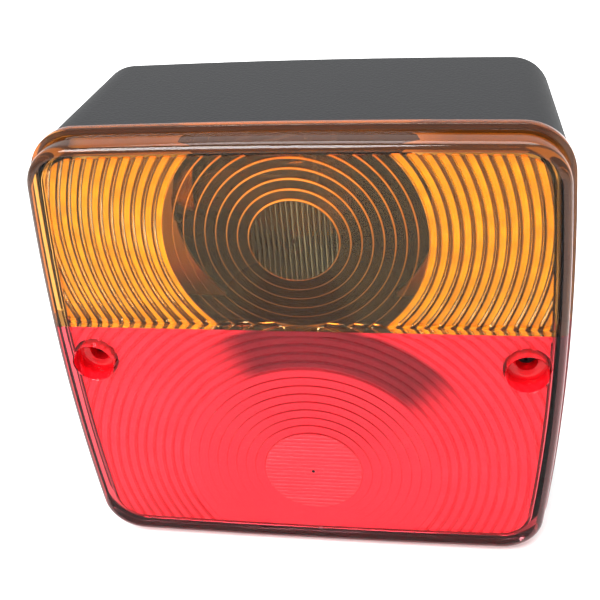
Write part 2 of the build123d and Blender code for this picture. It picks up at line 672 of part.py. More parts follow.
def glass_outline(shrink):
    """Half section of the bulb: a straight neck, a cone and the ball that the cone touches."""
    radius = GLASS_RADIUS - shrink
    neck = GLASS_NECK_RADIUS - shrink
    centre = GLASS_TIP_X - GLASS_RADIUS
    run = centre - GLASS_SHOULDER_X
    slope = asin(radius / sqrt(run**2 + neck**2)) - atan(neck / run)
    touch = (centre - radius * sin(slope), radius * cos(slope))
    halfway = (pi / 2 + slope) / 2
    with BuildSketch(Plane.XY) as outline:
        with BuildLine():
            Polyline((GLASS_OPEN_X, 0), (GLASS_OPEN_X, neck), (GLASS_SHOULDER_X, neck), touch)
            ThreePointArc(
                touch,
                (centre + radius * cos(halfway), radius * sin(halfway)),
                (centre + radius, 0),
            )
            Line((centre + radius, 0), (GLASS_OPEN_X, 0))
        make_face()
    return outline.sketch


GLASS_OUTSIDE = glass_outline(0)
GLASS_INSIDE = glass_outline(GLASS_WALL)
FILAMENTS = {
    "indicator": {"indicator_filament": (0.0, 0.0)},
    "stop_tail": {"stop_filament": (0.0, 0.0), "tail_filament": TAIL_FILAMENT_PLACE},
}

for name, z in HOLDERS.items():
    two_contacts = name == "stop_tail"
    pin_steps = {90: 0.0, -90: TAIL_PIN_STAGGER if two_contacts else 0.0}
    bumps = [-TWO_CONTACT_OFFSET, TWO_CONTACT_OFFSET] if two_contacts else [0.0]
    section = bulb_profile_plane(z)

    with BuildPart() as glass:
        with BuildSketch(section):
            add(GLASS_OUTSIDE)
            add(GLASS_INSIDE, mode=Mode.SUBTRACT)
        revolve(axis=bulb_axis(z))
    finish(glass, f"{name}_bulb_glass")

    with BuildPart() as stem:
        with BuildSketch(section):
            with BuildLine():
                Polyline(
                    (GLASS_OPEN_X, 0),
                    (GLASS_OPEN_X, GLASS_NECK_RADIUS - GLASS_WALL),
                    (GLASS_OPEN_X + STEM_FLARE_RIM, GLASS_NECK_RADIUS - GLASS_WALL),
                    (GLASS_OPEN_X + STEM_FLARE_LENGTH, STEM_FLARE_RADIUS),
                    (STEM_TOP_X, STEM_RADIUS),
                    (STEM_TOP_X, 0),
                    close=True,
                )
            make_face()
        revolve(axis=bulb_axis(z))
    finish(stem, f"{name}_bulb_stem")

    with BuildPart() as pins:
        for turn, step in pin_steps.items():
            up = sin(radians(turn))
            with BuildSketch(Plane(origin=(PIN_X + step, -BULB_AHEAD, z), z_dir=(0, 0, up))):
                Circle(PIN_RADIUS)
            extrude(amount=PIN_REACH)
        with BuildSketch(along_bulb(CAP_END_X, z)):
            Circle(CAP_RADIUS - 2 * CAP_WALL)
        extrude(amount=CAP_LENGTH, mode=Mode.SUBTRACT)
    finish(pins, f"{name}_bulb_pins")

    with BuildPart() as cap:
        with BuildSketch(along_bulb(CAP_END_X, z)):
            Circle(CAP_RADIUS)
            Circle(CAP_RADIUS - CAP_WALL, mode=Mode.SUBTRACT)
        extrude(amount=CAP_LENGTH)
        for step in pin_steps.values():
            with BuildSketch(Plane(origin=(PIN_X + step, -BULB_AHEAD, z), z_dir=(0, 0, 1))):
                Circle(PIN_RADIUS)
            extrude(amount=PIN_REACH, both=True, mode=Mode.SUBTRACT)
    finish(cap, f"{name}_bulb_cap")

    with BuildPart() as insulator:
        with BuildSketch(section):
            with BuildLine():
                Polyline(
                    (CAP_END_X - BASE_DOME, 0),
                    (CAP_END_X - BASE_DOME, INSULATOR_TIP_RADIUS),
                    (CAP_END_X, CAP_RADIUS - CAP_WALL),
                    (CAP_END_X + INSULATOR_THICKNESS, CAP_RADIUS - CAP_WALL),
                    (CAP_END_X + INSULATOR_THICKNESS, 0),
                    close=True,
                )
            make_face()
        revolve(axis=bulb_axis(z))
    finish(insulator, f"{name}_bulb_insulator")

    with BuildPart() as solder:
        with BuildSketch(along_bulb(CAP_END_X - BASE_DOME, z)):
            with Locations(*[(0, bump) for bump in bumps]):
                Circle(TIP_RADIUS)
        extrude(amount=-CONTACT_BUMP)
        fillet(solder.faces().group_by(Axis.X)[0].edges(), CONTACT_BUMP / 2)
    finish(solder, f"{name}_bulb_contacts")

    for filament_name, (shift_x, shift_y) in FILAMENTS[name].items():
        plane = Plane(origin=(0, -BULB_AHEAD + shift_y, z), x_dir=(1, 0, 0), z_dir=(0, -1, 0))
        with BuildPart() as filament:
            for up in (-1, 1):
                foot = Vector(STEM_TOP_X, up * SUPPORT_FOOT, shift_y * SUPPORT_LEAN)
                start = plane.from_local_coords(foot)
                end = plane.from_local_coords(Vector(shift_x, up * FILAMENT_HALF, 0))
                with BuildLine():
                    support = Line(start, end)
                with BuildSketch(Plane(origin=start, z_dir=end - start)):
                    Circle(SUPPORT_RADIUS)
                sweep(path=support)
            top = plane.from_local_coords(Vector(shift_x, -FILAMENT_HALF - SUPPORT_RADIUS, 0))
            with BuildSketch(Plane(origin=top, z_dir=(0, 0, 1))):
                Circle(FILAMENT_RADIUS)
            extrude(amount=2 * (FILAMENT_HALF + SUPPORT_RADIUS))
        finish(filament, filament_name)


# ---------------------------------------------------------------- conductors and terminals
LEG_X = BASE_FRONT_X + STRIP_WIDTH / 2
ROUTE_SIDE_X = WIDTH / 2 - ROUTE_SIDE_EDGE
ROUTE_INNER_X = ROUTE_SIDE_X - STRIP_WIDTH - STRIP_GAP
ROUTE_EDGE_Z = TOP - ROUTE_TOP_EDGE
ROUTE_INNER_Z = ROUTE_EDGE_Z - STRIP_WIDTH - STRIP_GAP
STOP_UP_X = BLOCK_X - BLOCK_WIDTH / 2 - STOP_STRIP_GAP
TERMINAL_PAD = 3.0
TERMINAL_GAP = 0.3
CORE_SLOT = 2.2
BLOCK_FOOT = 2.0
MIDDLE_PLACE = (TERMINALS - 1) / 2
TERMINAL_Z = [BLOCK_Z + (MIDDLE_PLACE - place) * TERMINAL_PITCH for place in range(TERMINALS)]
FOOT_SPAN_LOW = RED_Z - FOOT_RIVET_OFFSET - EARTH_HALF_WIDTH
FOOT_SPAN_HIGH = AMBER_Z + FOOT_RIVET_OFFSET + EARTH_HALF_WIDTH
ROUTES = {
    "indicator": [
        (LEG_X, AMBER_Z),
        (-ROUTE_SIDE_X, AMBER_Z),
        (-ROUTE_SIDE_X, ROUTE_EDGE_Z),
        (INDICATOR_DOWN_X, ROUTE_EDGE_Z),
        (INDICATOR_DOWN_X, TERMINAL_Z[0]),
    ],
    "earth": [
        (FOOT_RIVET_X, TERMINAL_Z[1]),
        (BLOCK_X, TERMINAL_Z[1]),
    ],
    "stop": [
        (LEG_X, RED_Z + TWO_CONTACT_OFFSET),
        (-ROUTE_INNER_X, RED_Z + TWO_CONTACT_OFFSET),
        (-ROUTE_INNER_X, -ROUTE_INNER_Z),
        (STOP_UP_X, -ROUTE_INNER_Z),
        (STOP_UP_X, TERMINAL_Z[2]),
        (BLOCK_X, TERMINAL_Z[2]),
    ],
    "tail": [
        (LEG_X, RED_Z - TWO_CONTACT_OFFSET),
        (-ROUTE_SIDE_X, RED_Z - TWO_CONTACT_OFFSET),
        (-ROUTE_SIDE_X, -ROUTE_EDGE_Z),
        (INDICATOR_DOWN_X, -ROUTE_EDGE_Z),
        (INDICATOR_DOWN_X, TERMINAL_Z[3]),
    ],
}


def runs(points):
    """Straight stretches of strip from each point to the next."""
    for (x0, z0), (x1, z1) in zip(points, points[1:]):
        with Locations(((x0 + x1) / 2, (z0 + z1) / 2)):
            Rectangle(abs(x1 - x0) + STRIP_WIDTH, abs(z1 - z0) + STRIP_WIDTH)


for place, (name, points) in enumerate(ROUTES.items()):
    with BuildPart() as strip:
        with BuildSketch(ahead(FLOOR)):
            runs(points)
            with Locations((BLOCK_X, TERMINAL_Z[place])):
                Rectangle(BLOCK_WIDTH / 2, TERMINAL_PAD)
            if name == "earth":
                with Locations((FOOT_RIVET_X, (FOOT_SPAN_LOW + FOOT_SPAN_HIGH) / 2)):
                    Rectangle(2 * EARTH_HALF_WIDTH, FOOT_SPAN_HIGH - FOOT_SPAN_LOW)
                for z in HOLDERS.values():
                    with Locations(
                        (FOOT_RIVET_X, z - FOOT_RIVET_OFFSET),
                        (FOOT_RIVET_X, z + FOOT_RIVET_OFFSET),
                    ):
                        Circle(FOOT_RIVET_RADIUS, mode=Mode.SUBTRACT)
        extrude(amount=STRIP)
        if name != "earth":
            with BuildSketch(along_bulb(BASE_FRONT_X, points[0][1])):
                with Locations(((BULB_AHEAD - FLOOR - STRIP_PAD / 2) / 2, 0)):
                    Rectangle(BULB_AHEAD - FLOOR + STRIP_PAD / 2, STRIP_PAD)
            extrude(amount=STRIP)
    finish(strip, f"{name}_strip")

with BuildPart() as terminal_block:
    with BuildSketch(ahead(FOOT_AHEAD)):
        with Locations((BLOCK_X, BLOCK_Z)):
            Rectangle(BLOCK_WIDTH, BLOCK_HEIGHT)
        with Locations(*[(BLOCK_X, z) for z in TERMINAL_Z]):
            Circle(TERMINAL_SCREW_RADIUS + SLIDE_GAP, mode=Mode.SUBTRACT)
    extrude(amount=BLOCK_THICKNESS)
    with BuildSketch(ahead(FLOOR)):
        with Locations((BLOCK_X + (BLOCK_WIDTH - BLOCK_FOOT) / 2, BLOCK_Z)):
            Rectangle(BLOCK_FOOT, BLOCK_HEIGHT)
    extrude(amount=STRIP)
    with BuildSketch(ahead(FOOT_AHEAD)):
        with Locations(*[(BLOCK_X - BLOCK_WIDTH / 4, z) for z in TERMINAL_Z]):
            Rectangle(BLOCK_WIDTH / 2 + TERMINAL_PAD, TERMINAL_PAD)
    extrude(amount=CORE_SLOT, mode=Mode.SUBTRACT)
finish(terminal_block, "terminal_block")

with BuildPart() as terminal_screws:
    with BuildSketch(ahead(FOOT_AHEAD + TERMINAL_GAP)):
        with Locations(*[(BLOCK_X, z) for z in TERMINAL_Z]):
            Circle(TERMINAL_SCREW_RADIUS)
    extrude(amount=BLOCK_THICKNESS - TERMINAL_GAP)
    with BuildSketch(ahead(FOOT_AHEAD + BLOCK_THICKNESS)):
        with Locations(*[(BLOCK_X, z) for z in TERMINAL_Z]):
            Circle(TERMINAL_HEAD_RADIUS)
    extrude(amount=TERMINAL_HEAD_HEIGHT)
    with BuildSketch(ahead(FOOT_AHEAD + BLOCK_THICKNESS + TERMINAL_HEAD_HEIGHT)):
        with Locations(*[(BLOCK_X, z) for z in TERMINAL_Z]):
            Rectangle(2 * TERMINAL_HEAD_RADIUS, TERMINAL_HEAD_HEIGHT / 2)
    extrude(amount=-TERMINAL_HEAD_HEIGHT / 2, mode=Mode.SUBTRACT)
finish(terminal_screws, "terminal_screws")
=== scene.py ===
"""Rear lamp for a trailer: the finish, the lens optics and the small turned and coiled pieces.

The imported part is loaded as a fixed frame. Everything here is in metres, in the part's own
frame: the origin is the middle of the mounting face, the lens looks along -Y and +Z is up.
"Ahead" is the distance in front of the mounting face, so ahead = -y. Sizes that a user may
change are properties in millimetres, and MM turns them into metres.
"""

import json
import math
import bmesh  # noqa: E402
import bpy  # noqa: E402
import numpy as np  # noqa: E402
from bpy.props import FloatProperty, FloatVectorProperty, IntProperty, PointerProperty  # noqa: E402
from mathutils import Matrix, Vector  # noqa: E402

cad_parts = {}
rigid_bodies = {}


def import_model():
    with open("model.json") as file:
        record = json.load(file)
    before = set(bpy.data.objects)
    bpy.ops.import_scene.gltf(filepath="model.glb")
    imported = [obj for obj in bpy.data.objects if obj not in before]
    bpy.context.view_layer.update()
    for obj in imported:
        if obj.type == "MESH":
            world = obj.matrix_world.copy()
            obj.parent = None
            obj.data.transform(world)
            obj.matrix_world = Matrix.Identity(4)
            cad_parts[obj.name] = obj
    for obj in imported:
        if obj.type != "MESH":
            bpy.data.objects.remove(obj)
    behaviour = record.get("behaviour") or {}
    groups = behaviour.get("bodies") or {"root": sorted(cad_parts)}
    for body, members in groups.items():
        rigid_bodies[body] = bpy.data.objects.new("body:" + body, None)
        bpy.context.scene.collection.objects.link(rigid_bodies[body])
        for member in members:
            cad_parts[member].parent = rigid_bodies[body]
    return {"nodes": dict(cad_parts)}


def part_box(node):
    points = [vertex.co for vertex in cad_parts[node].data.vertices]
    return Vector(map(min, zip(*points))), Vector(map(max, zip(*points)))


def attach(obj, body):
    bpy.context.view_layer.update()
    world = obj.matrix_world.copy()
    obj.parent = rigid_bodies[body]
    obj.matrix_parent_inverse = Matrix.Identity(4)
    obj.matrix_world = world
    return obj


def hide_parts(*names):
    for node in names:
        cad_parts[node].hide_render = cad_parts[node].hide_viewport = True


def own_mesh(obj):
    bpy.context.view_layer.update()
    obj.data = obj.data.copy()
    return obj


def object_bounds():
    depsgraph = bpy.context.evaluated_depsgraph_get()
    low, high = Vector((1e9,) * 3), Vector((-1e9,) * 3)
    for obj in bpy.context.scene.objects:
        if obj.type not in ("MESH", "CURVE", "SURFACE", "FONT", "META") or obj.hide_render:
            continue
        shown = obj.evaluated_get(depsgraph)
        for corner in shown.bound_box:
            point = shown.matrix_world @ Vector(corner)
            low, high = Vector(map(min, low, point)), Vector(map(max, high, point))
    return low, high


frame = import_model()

bl_info = {
    "name": "Trailer rear lamp",
    "version": (1, 0, 0),
    "blender": (4, 5, 0),
    "location": "3D View > Sidebar > Rear lamp",
    "description": "Builds the lens optics, springs, threads, finishes and the stage of a square rear lamp",
    "category": "Object",
}

CAD_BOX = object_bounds()
MM = 0.001
NODES = frame["nodes"]
THREAD_STEPS = 96

# Lens moulding, in mm: insets from the outline, and distances ahead of the mounting face
RIB_EDGE = 4.2
MARK_RADIUS = 2.1
MARK_HALF_WIDTH = 0.16
SKIRT_INSET = 1.1
SKIRT_INNER = 3.3
RIM_EDGE = 2.6
FLANGE_BACK = 40.0
FLANGE_FRONT = 42.0
FRONT_ROUND = 1.6
INNER_ROUND = 0.6
JOINT_GAP = 0.03
REFLECTOR_BACK = 33.1
WELL_OUTER = 4.7

# Studs, lens screws and bulbs, in mm
STUD_X = 25.0
STUD_WALL = 3.0
STUD_HEAD = 6.4
STUD_LENGTH = 17.97
STUD_RADIUS = 2.5
STUD_PITCH = 0.8
STUD_NECK = 2.8
HEX_APOTHEM = 4.0
SCREW_TOP = 41.4
SCREW_SEAT = 39.6
SCREW_HEAD = 2.0
SCREW_RADIUS = 1.45
SCREW_CORE = 1.12
SCREW_PITCH = 1.34
BULB_Y = -23.5
STEM_X = -11.0
FILAMENT_HALF = 3.5
FILAMENT_TURNS = 14


def linear(text):
    """sRGB hex colour, such as "3C3F44", to the linear RGBA that Blender's sockets take."""
    srgb = np.array([int(text[i : i + 2], 16) for i in (0, 2, 4)]) / 255
    rgb = np.where(srgb <= 0.04045, srgb / 12.92, ((srgb + 0.055) / 1.055) ** 2.4)
    return (*rgb.tolist(), 1.0)


# ---------------------------------------------------------------- settings
class LensSizes(bpy.types.PropertyGroup):
    """Sizes of the two lens mouldings, in millimetres."""

    width: FloatProperty(name="Width", description="Across the flange at mid height", default=104.0)
    height: FloatProperty(name="Height", description="Over the flange at mid width", default=99.0)
    depth: FloatProperty(name="Depth", description="Mounting face to lens front", default=48.0)
    side_bow: FloatProperty(name="Side bow", description="How far each side bulges", default=2.4)
    top_bow: FloatProperty(name="Top bow", description="How far top and bottom bulge", default=0.6)
    corner: FloatProperty(name="Corner radius", description="Flange corner radius", default=10.0)
    wall: FloatProperty(name="Plate thickness", description="Front plate between the ribs", default=2.6)
    joint: FloatProperty(name="Colour joint", description="Height of the amber to red joint", default=9.2)
    rib_pitch: FloatProperty(name="Rib pitch", description="Spacing of the curved ribs", default=2.05)
    amber_height: FloatProperty(name="Amber centre", description="Height of the amber optic", default=28.0)
    red_height: FloatProperty(name="Red centre", description="Height of the red optic", default=-29.0)
    well_x: FloatProperty(name="Screw well", description="Screw wells from the middle", default=43.8)
    segments: IntProperty(name="Segments", description="Steps around each optic", default=720, min=180)


class FinishColours(bpy.types.PropertyGroup):
    """Colours of the lenses' polished faces and of the housing."""

    amber: FloatVectorProperty(name="Amber", subtype="COLOR", size=3, default=linear("FFE7AA")[:3])
    red: FloatVectorProperty(name="Red", subtype="COLOR", size=3, default=linear("FF9EAA")[:3])
    housing: FloatVectorProperty(name="Housing", subtype="COLOR", size=3, default=linear("18191B")[:3])


class StageLook(bpy.types.PropertyGroup):
    """Light and floor."""

    floor_drop: FloatProperty(name="Floor gap", description="Gap under the lamp", default=0.0)
    key: FloatProperty(name="Top light", description="Power of the soft top light, in watts", default=7.0)
    front: FloatProperty(name="Front light", description="Soft front light, in watts", default=14.0)
    sky: FloatProperty(name="Room", description="Brightness of the pale room", default=1.0)


# ---------------------------------------------------------------- helpers
def add_node(tree, kind, settings=None, values=None, links=None):
    """Adds a node. settings are its attributes, values its unlinked inputs, and links its inputs' sources."""
    made = tree.nodes.new(kind)
    for key, value in (settings or {}).items():
        setattr(made, key, value)
    for key, value in (values or {}).items():
        made.inputs[key].default_value = value
    for key, source in (links or {}).items():
        tree.links.new(source, made.inputs[key])
    return made


def new_material(name, surface):
    """A material with one Principled surface, whose constant inputs are set on its own sockets."""
    material = bpy.data.materials.new(name)
    material.use_nodes = True
    tree = material.node_tree
    tree.nodes.clear()
    shader = add_node(tree, "ShaderNodeBsdfPrincipled", values=surface)
    add_node(tree, "ShaderNodeOutputMaterial", links={"Surface": shader.outputs[0]})
    return material, tree, shader


def mesh_object(name, points, faces, smooth_angle=30):
    """A mesh object at the origin from points in metres and faces, smooth up to an angle in degrees."""
    mesh = bpy.data.meshes.new(name)
    mesh.from_pydata(points.tolist(), [], faces)
    piece = bpy.data.objects.new(name, mesh)
    bpy.context.scene.collection.objects.link(piece)
    shade(mesh, smooth_angle)
    return piece


def shade(mesh, smooth_angle):
    """Smooth shading, with the edges sharper than the angle kept crisp."""
    mesh.polygons.foreach_set("use_smooth", np.ones(len(mesh.polygons), bool))
    mesh.set_sharp_from_angle(angle=math.radians(smooth_angle))
    mesh.update()


def grid_faces(rows, columns, close_rows=False, close_columns=False):
    """Quads between neighbouring points of a rows by columns grid, numbered row by row."""
    i = np.arange(rows if close_rows else rows - 1)[:, None]
    j = np.arange(columns if close_columns else columns - 1)[None, :]
    a = i * columns + j
    b = i * columns + (j + 1) % columns
    c = (i + 1) % rows * columns + (j + 1) % columns
    d = (i + 1) % rows * columns + j
    return np.stack([a, b, c, d], -1).reshape(-1, 4)


def turned(profile, segments, centre, axis):
    """Points of a profile of (along, radius) pairs turned about an axis.

    A point at angle t is centre + along * axis + radius * (cos t * side + sin t * other).
    """
    axis = np.array(axis, float)
    side = np.array([0.0, 0.0, 1.0]) if abs(axis[2]) < 0.5 else np.array([1.0, 0.0, 0.0])
    other = np.cross(axis, side)
    t = np.linspace(0, 2 * np.pi, segments, endpoint=False)
    ring = np.cos(t)[:, None] * side + np.sin(t)[:, None] * other
    profile = np.array(profile, float)
    points = np.array(centre) + profile[:, :1, None] * axis + profile[:, 1:, None] * ring
    return points.reshape(-1, 3)


def turned_solid(name, profile, segments, centre, axis, smooth_angle=30):
    """A closed turned piece. Its profile starts and ends on the axis, where the caps are single faces."""
    points = turned(profile, segments, centre, axis)
    rows = len(profile)
    faces = grid_faces(rows, segments, close_columns=True).tolist()
    faces += [list(range(segments))[::-1], list(range((rows - 1) * segments, rows * segments))]
    piece = mesh_object(name, points, faces, smooth_angle)
    outward(piece.data)
    return piece


def outward(mesh):
    """Merges doubled points and turns every face outwards."""
    work = bmesh.new()
    work.from_mesh(mesh)
    bmesh.ops.remove_doubles(work, verts=work.verts, dist=1e-8)
    bmesh.ops.recalc_face_normals(work, faces=work.faces)
    work.to_mesh(mesh)
    work.free()


def tube(path, radius, sides=12):
    """A round wire: each ring is radius * (cos a * normal + sin a * binormal) about its path point."""
    path = np.array(path, float)
    tangent = np.gradient(path, axis=0)
    tangent /= np.linalg.norm(tangent, axis=1)[:, None]
    guide = np.array([0.0, 0.0, 1.0]) if abs(tangent[0] @ [0, 0, 1]) < 0.8 else np.array([0.0, 1.0, 0.0])
    if len(path) > 8:
        guide = np.array([1.0, 0.0, 0.0]) if abs(tangent[len(path) // 2][0]) < 0.8 else guide
    normal = np.cross(tangent, guide)
    normal /= np.linalg.norm(normal, axis=1)[:, None]
    binormal = np.cross(tangent, normal)
    a = np.linspace(0, 2 * np.pi, sides, endpoint=False)
    round_it = np.cos(a)[None, :, None] * normal[:, None] + np.sin(a)[None, :, None] * binormal[:, None]
    rings = path[:, None] + radius * round_it
    faces = grid_faces(len(path), sides, close_columns=True).tolist()
    last = (len(path) - 1) * sides
    faces += [list(range(sides)), list(range(last, last + sides))[::-1]]
    return rings.reshape(-1, 3), faces


def join_parts(name, parts, smooth_angle=40):
    """One mesh object from several (points, faces) parts."""
    points, faces, start = [], [], 0
    for part_points, part_faces in parts:
        points.append(part_points)
        faces += [[v + start for v in face] for face in part_faces]
        start += len(part_points)
    piece = mesh_object(name, np.concatenate(points), faces, smooth_angle)
    outward(piece.data)
    shade(piece.data, smooth_angle)
    return piece


# ---------------------------------------------------------------- lens shape
def outline(sizes, inset):
    """The lamp's outline moved in by inset: four shallow arcs, joined by corner arcs.

    A corner arc's centre is where the circle of radius (side radius - corner radius) about the
    side arc's centre meets the circle of radius (top radius - corner radius) about the top arc's.
    """
    side, top = sizes.width / 2 - inset, sizes.height / 2 - inset
    corner_x, corner_z = side - sizes.side_bow, top - sizes.top_bow
    side_radius = (corner_z**2 + sizes.side_bow**2) / (2 * sizes.side_bow)
    top_radius = (corner_x**2 + sizes.top_bow**2) / (2 * sizes.top_bow)
    round_off = sizes.corner - inset
    a, b = side_radius - round_off, top_radius - round_off
    p, q = np.array([side - side_radius, 0.0]), np.array([0.0, top - top_radius])
    apart = np.linalg.norm(q - p)
    along = (a**2 - b**2 + apart**2) / (2 * apart)
    across = math.sqrt(a**2 - along**2)
    unit = (q - p) / apart
    centre = p + along * unit + across * np.array([-unit[1], unit[0]])
    if centre[0] < 0 or centre[1] < 0:
        centre = p + along * unit - across * np.array([-unit[1], unit[0]])
    low = math.atan2(centre[1], centre[0] - p[0])
    high = math.atan2(centre[1] - q[1], centre[0])
    t1 = np.linspace(0, low, 300, endpoint=False)
    t2 = np.linspace(low, high, 400, endpoint=False)
    t3 = np.linspace(high, math.pi / 2, 300)
    quarter = np.concatenate(
        [
            np.stack([p[0] + side_radius * np.cos(t1), side_radius * np.sin(t1)], 1),
            centre + round_off * np.stack([np.cos(t2), np.sin(t2)], 1),
            np.stack([top_radius * np.cos(t3), q[1] + top_radius * np.sin(t3)], 1),
        ]
    )
    half = np.concatenate([quarter, (quarter * [-1, 1])[::-1][1:]])
    return np.concatenate([half, (half * [1, -1])[::-1][1:-1]])


def reach(sizes, inset, centre_z, angles):
    """How far the outline is from the optical centre in each direction."""
    points = outline(sizes, inset) - [0, centre_z]
    return np.interp(angles, np.arctan2(points[:, 1], points[:, 0]), np.hypot(*points.T), period=2 * np.pi)


def lens_shell(name, sizes, centre_z, joint_edge, rings, relief):
    """A closed lens moulding before it is cut at the colour joint.

    Every point is (distance, angle) from the optical centre, and a depth. The inside follows the
    rings, whose relief stands out of the plate towards the bulb, and stops at the rib edge. Then
    rails at fixed insets from the outline go down the skirt's inside, round the flange, up the
    outside and over the front's rounded edge, and the front is flat.
    """
    angles = np.linspace(-math.pi, math.pi, sizes.segments, endpoint=False)
    points = outline(sizes, 0) - [0, centre_z]
    quarter = len(points) // 4
    bends = [points[i] for s in range(4) for i in range(s * quarter, s * quarter + quarter, quarter // 24)]
    angles = np.unique(np.round(np.concatenate([angles, [math.atan2(v[1], v[0]) for v in bends]]), 4))
    sine = np.sin(angles)
    up = 1 if joint_edge > centre_z else -1
    with np.errstate(divide="ignore"):
        to_joint = np.where(sine * up > 1e-6, (joint_edge - centre_z) / sine, 1e9)
    edge = np.minimum(reach(sizes, RIB_EDGE, centre_z, angles), to_joint)

    depth = sizes.depth
    inner = depth - sizes.wall
    rows = []
    ring_radii, ring_relief = np.array(rings), np.array(relief)
    for radius in ring_radii:
        distance = np.minimum(radius, edge)
        rows.append((distance, inner - np.interp(distance, ring_radii, ring_relief)))
    rows.append((edge, inner - np.interp(edge, ring_radii, ring_relief)))
    rows.append((edge + 0.05, np.full_like(edge, inner)))
    turn = np.radians([0, 30, 60, 90])
    rounding = zip(1 - np.sin(turn), 1 - np.cos(turn))
    rails = [(SKIRT_INNER + INNER_ROUND * s, inner - INNER_ROUND * c) for s, c in rounding]
    # Down the skirt's inside and round the flange, whose corners are rounded by 0.25 mm
    rails += [(SKIRT_INNER, FLANGE_BACK + 0.2), (SKIRT_INNER - 0.2, FLANGE_BACK), (0.25, FLANGE_BACK)]
    rails += [(0.07, FLANGE_BACK + 0.07), (0.0, FLANGE_BACK + 0.25), (0.0, FLANGE_FRONT - 0.25)]
    rails += [(0.07, FLANGE_FRONT - 0.07), (0.25, FLANGE_FRONT), (SKIRT_INSET - 0.3, FLANGE_FRONT)]
    rails += [(SKIRT_INSET - 0.1, FLANGE_FRONT + 0.08), (SKIRT_INSET, FLANGE_FRONT + 0.3)]
    rails += [(SKIRT_INSET, FLANGE_FRONT + 2.0), (SKIRT_INSET, depth - FRONT_ROUND)]
    turn = np.radians(np.arange(15, 91, 15))
    rounding = zip(1 - np.sin(turn), 1 - np.cos(turn))
    rails += [(SKIRT_INSET + FRONT_ROUND * c, depth - FRONT_ROUND * s) for s, c in rounding]
    for inset, ahead in rails:
        rows.append((reach(sizes, inset, centre_z, angles), np.full_like(angles, ahead)))
    distance, ahead = np.array([r[0] for r in rows]), np.array([r[1] for r in rows])
    points = np.stack([distance * np.cos(angles), -ahead, centre_z + distance * sine], -1)
    live = np.ones((len(rows) - 1, len(angles)), bool)
    clamped = np.isclose(distance, edge, atol=1e-6)
    inside = len(ring_radii)
    both = clamped[: inside - 1] & clamped[1:inside]
    live[: inside - 1] = ~(both & np.roll(both, -1, 1))
    faces = grid_faces(len(rows), len(angles), close_columns=True)[live.reshape(-1)].tolist()
    count = len(rows) * len(angles)
    points = points.reshape(-1, 3)
    last = (len(rows) - 1) * len(angles)
    faces.append(list(range(last, count)))
    piece = mesh_object(name, points * MM, faces)
    outward(piece.data)
    return piece


def finish_lens(piece, sizes, tint, rim_shaded_tint, colour, optic):
    """Three finishes: the flat front and bores polished, the ribbed inside as the optic says, and the rim,
    whose darker tint is painted shade.
    """
    piece.data.materials.clear()
    piece.data.materials.append(polished_acrylic(f"{colour}_acrylic_polished", tint, 1.2))
    piece.data.materials.append(optic_material(f"{colour}_acrylic_ribbed", optic))
    piece.data.materials.append(polished_acrylic(f"{colour}_acrylic_rim", rim_shaded_tint, 1.4, 0.07))
    centre_z = optic["centre"]
    centres = np.empty(len(piece.data.polygons) * 3)
    piece.data.polygons.foreach_get("center", centres)
    x, y, z = centres.reshape(-1, 3).T / MM
    distance = np.hypot(x, z - centre_z)
    angles = np.arctan2(z - centre_z, x)
    clear_of_wells = np.hypot(np.abs(x) - sizes.well_x, z) > WELL_OUTER + 0.05
    deep = np.abs(-y - (sizes.depth - sizes.wall - 0.5)) < 0.52
    ribbed = (distance < reach(sizes, RIB_EDGE - 0.05, centre_z, angles)) & clear_of_wells & deep
    rim = (distance > reach(sizes, RIM_EDGE, centre_z, angles)) & clear_of_wells
    index = np.where(ribbed, 1, np.where(rim, 2, 0))
    if not clear_of_wells.all():
        # The screw wells' walls and seats are frosted, and so they glow red
        frosted = polished_acrylic(f"{colour}_acrylic_frosted_well", linear("F31221")[:3], 1.3, 0.5)
        piece.data.materials.append(frosted)
        index[~clear_of_wells & (-y < sizes.depth - 0.2)] = 3
    piece.data.polygons.foreach_set("material_index", index.astype(np.int32))
    piece.data.update()


def sawtooth(start, end, pitch, height, riser):
    """Fresnel rings: each starts with a steep riser to its full height and slopes back to the plate."""
    begins = np.arange(start, end - pitch / 2, pitch)
    radii = np.stack([begins, begins + riser], 1).reshape(-1)
    heights = np.tile([0.0, height], len(begins))
    return list(radii), list(heights)


def ribs(start, end, pitch, height, crest, slope):
    """Flat-topped ribs: up a slope, along the crest, down a slope and along the groove to the next."""
    begins = np.arange(start, end, pitch)[:, None]
    radii = (begins + np.array([0.0, slope, slope + crest, 2 * slope + crest])).reshape(-1)
    heights = np.tile([0.0, height, height, 0.0], len(begins))
    return list(radii), list(heights)


def cut_at_joint(piece, height, keep_above):
    """Cuts a closed shell at a level plane, drops one side and closes the cut with one face."""
    work = bmesh.new()
    work.from_mesh(piece.data)
    normal = (0, 0, -1) if keep_above else (0, 0, 1)
    everything = work.verts[:] + work.edges[:] + work.faces[:]
    cut = bmesh.ops.bisect_plane(
        work, geom=everything, dist=1e-8, plane_co=(0, 0, height), plane_no=normal, clear_outer=True
    )
    edges = [e for e in cut["geom_cut"] if isinstance(e, bmesh.types.BMEdge)]
    bmesh.ops.triangle_fill(work, edges=edges, use_beauty=True, use_dissolve=False, normal=normal)
    bmesh.ops.recalc_face_normals(work, faces=work.faces)
    work.to_mesh(piece.data)
    work.free()


def apply_booleans(piece, steps):
    """Applies boolean steps of (operation, tool) and removes the tools."""
    for operation, tool in steps:
        modifier = piece.modifiers.new(operation, "BOOLEAN")
        modifier.operation = operation
        modifier.object = tool
        modifier.solver = "EXACT"
    evaluated = piece.evaluated_get(bpy.context.evaluated_depsgraph_get())
    mesh = bpy.data.meshes.new_from_object(evaluated)
    piece.modifiers.clear()
    piece.data = mesh
    for _, tool in steps:
        bpy.data.objects.remove(tool)


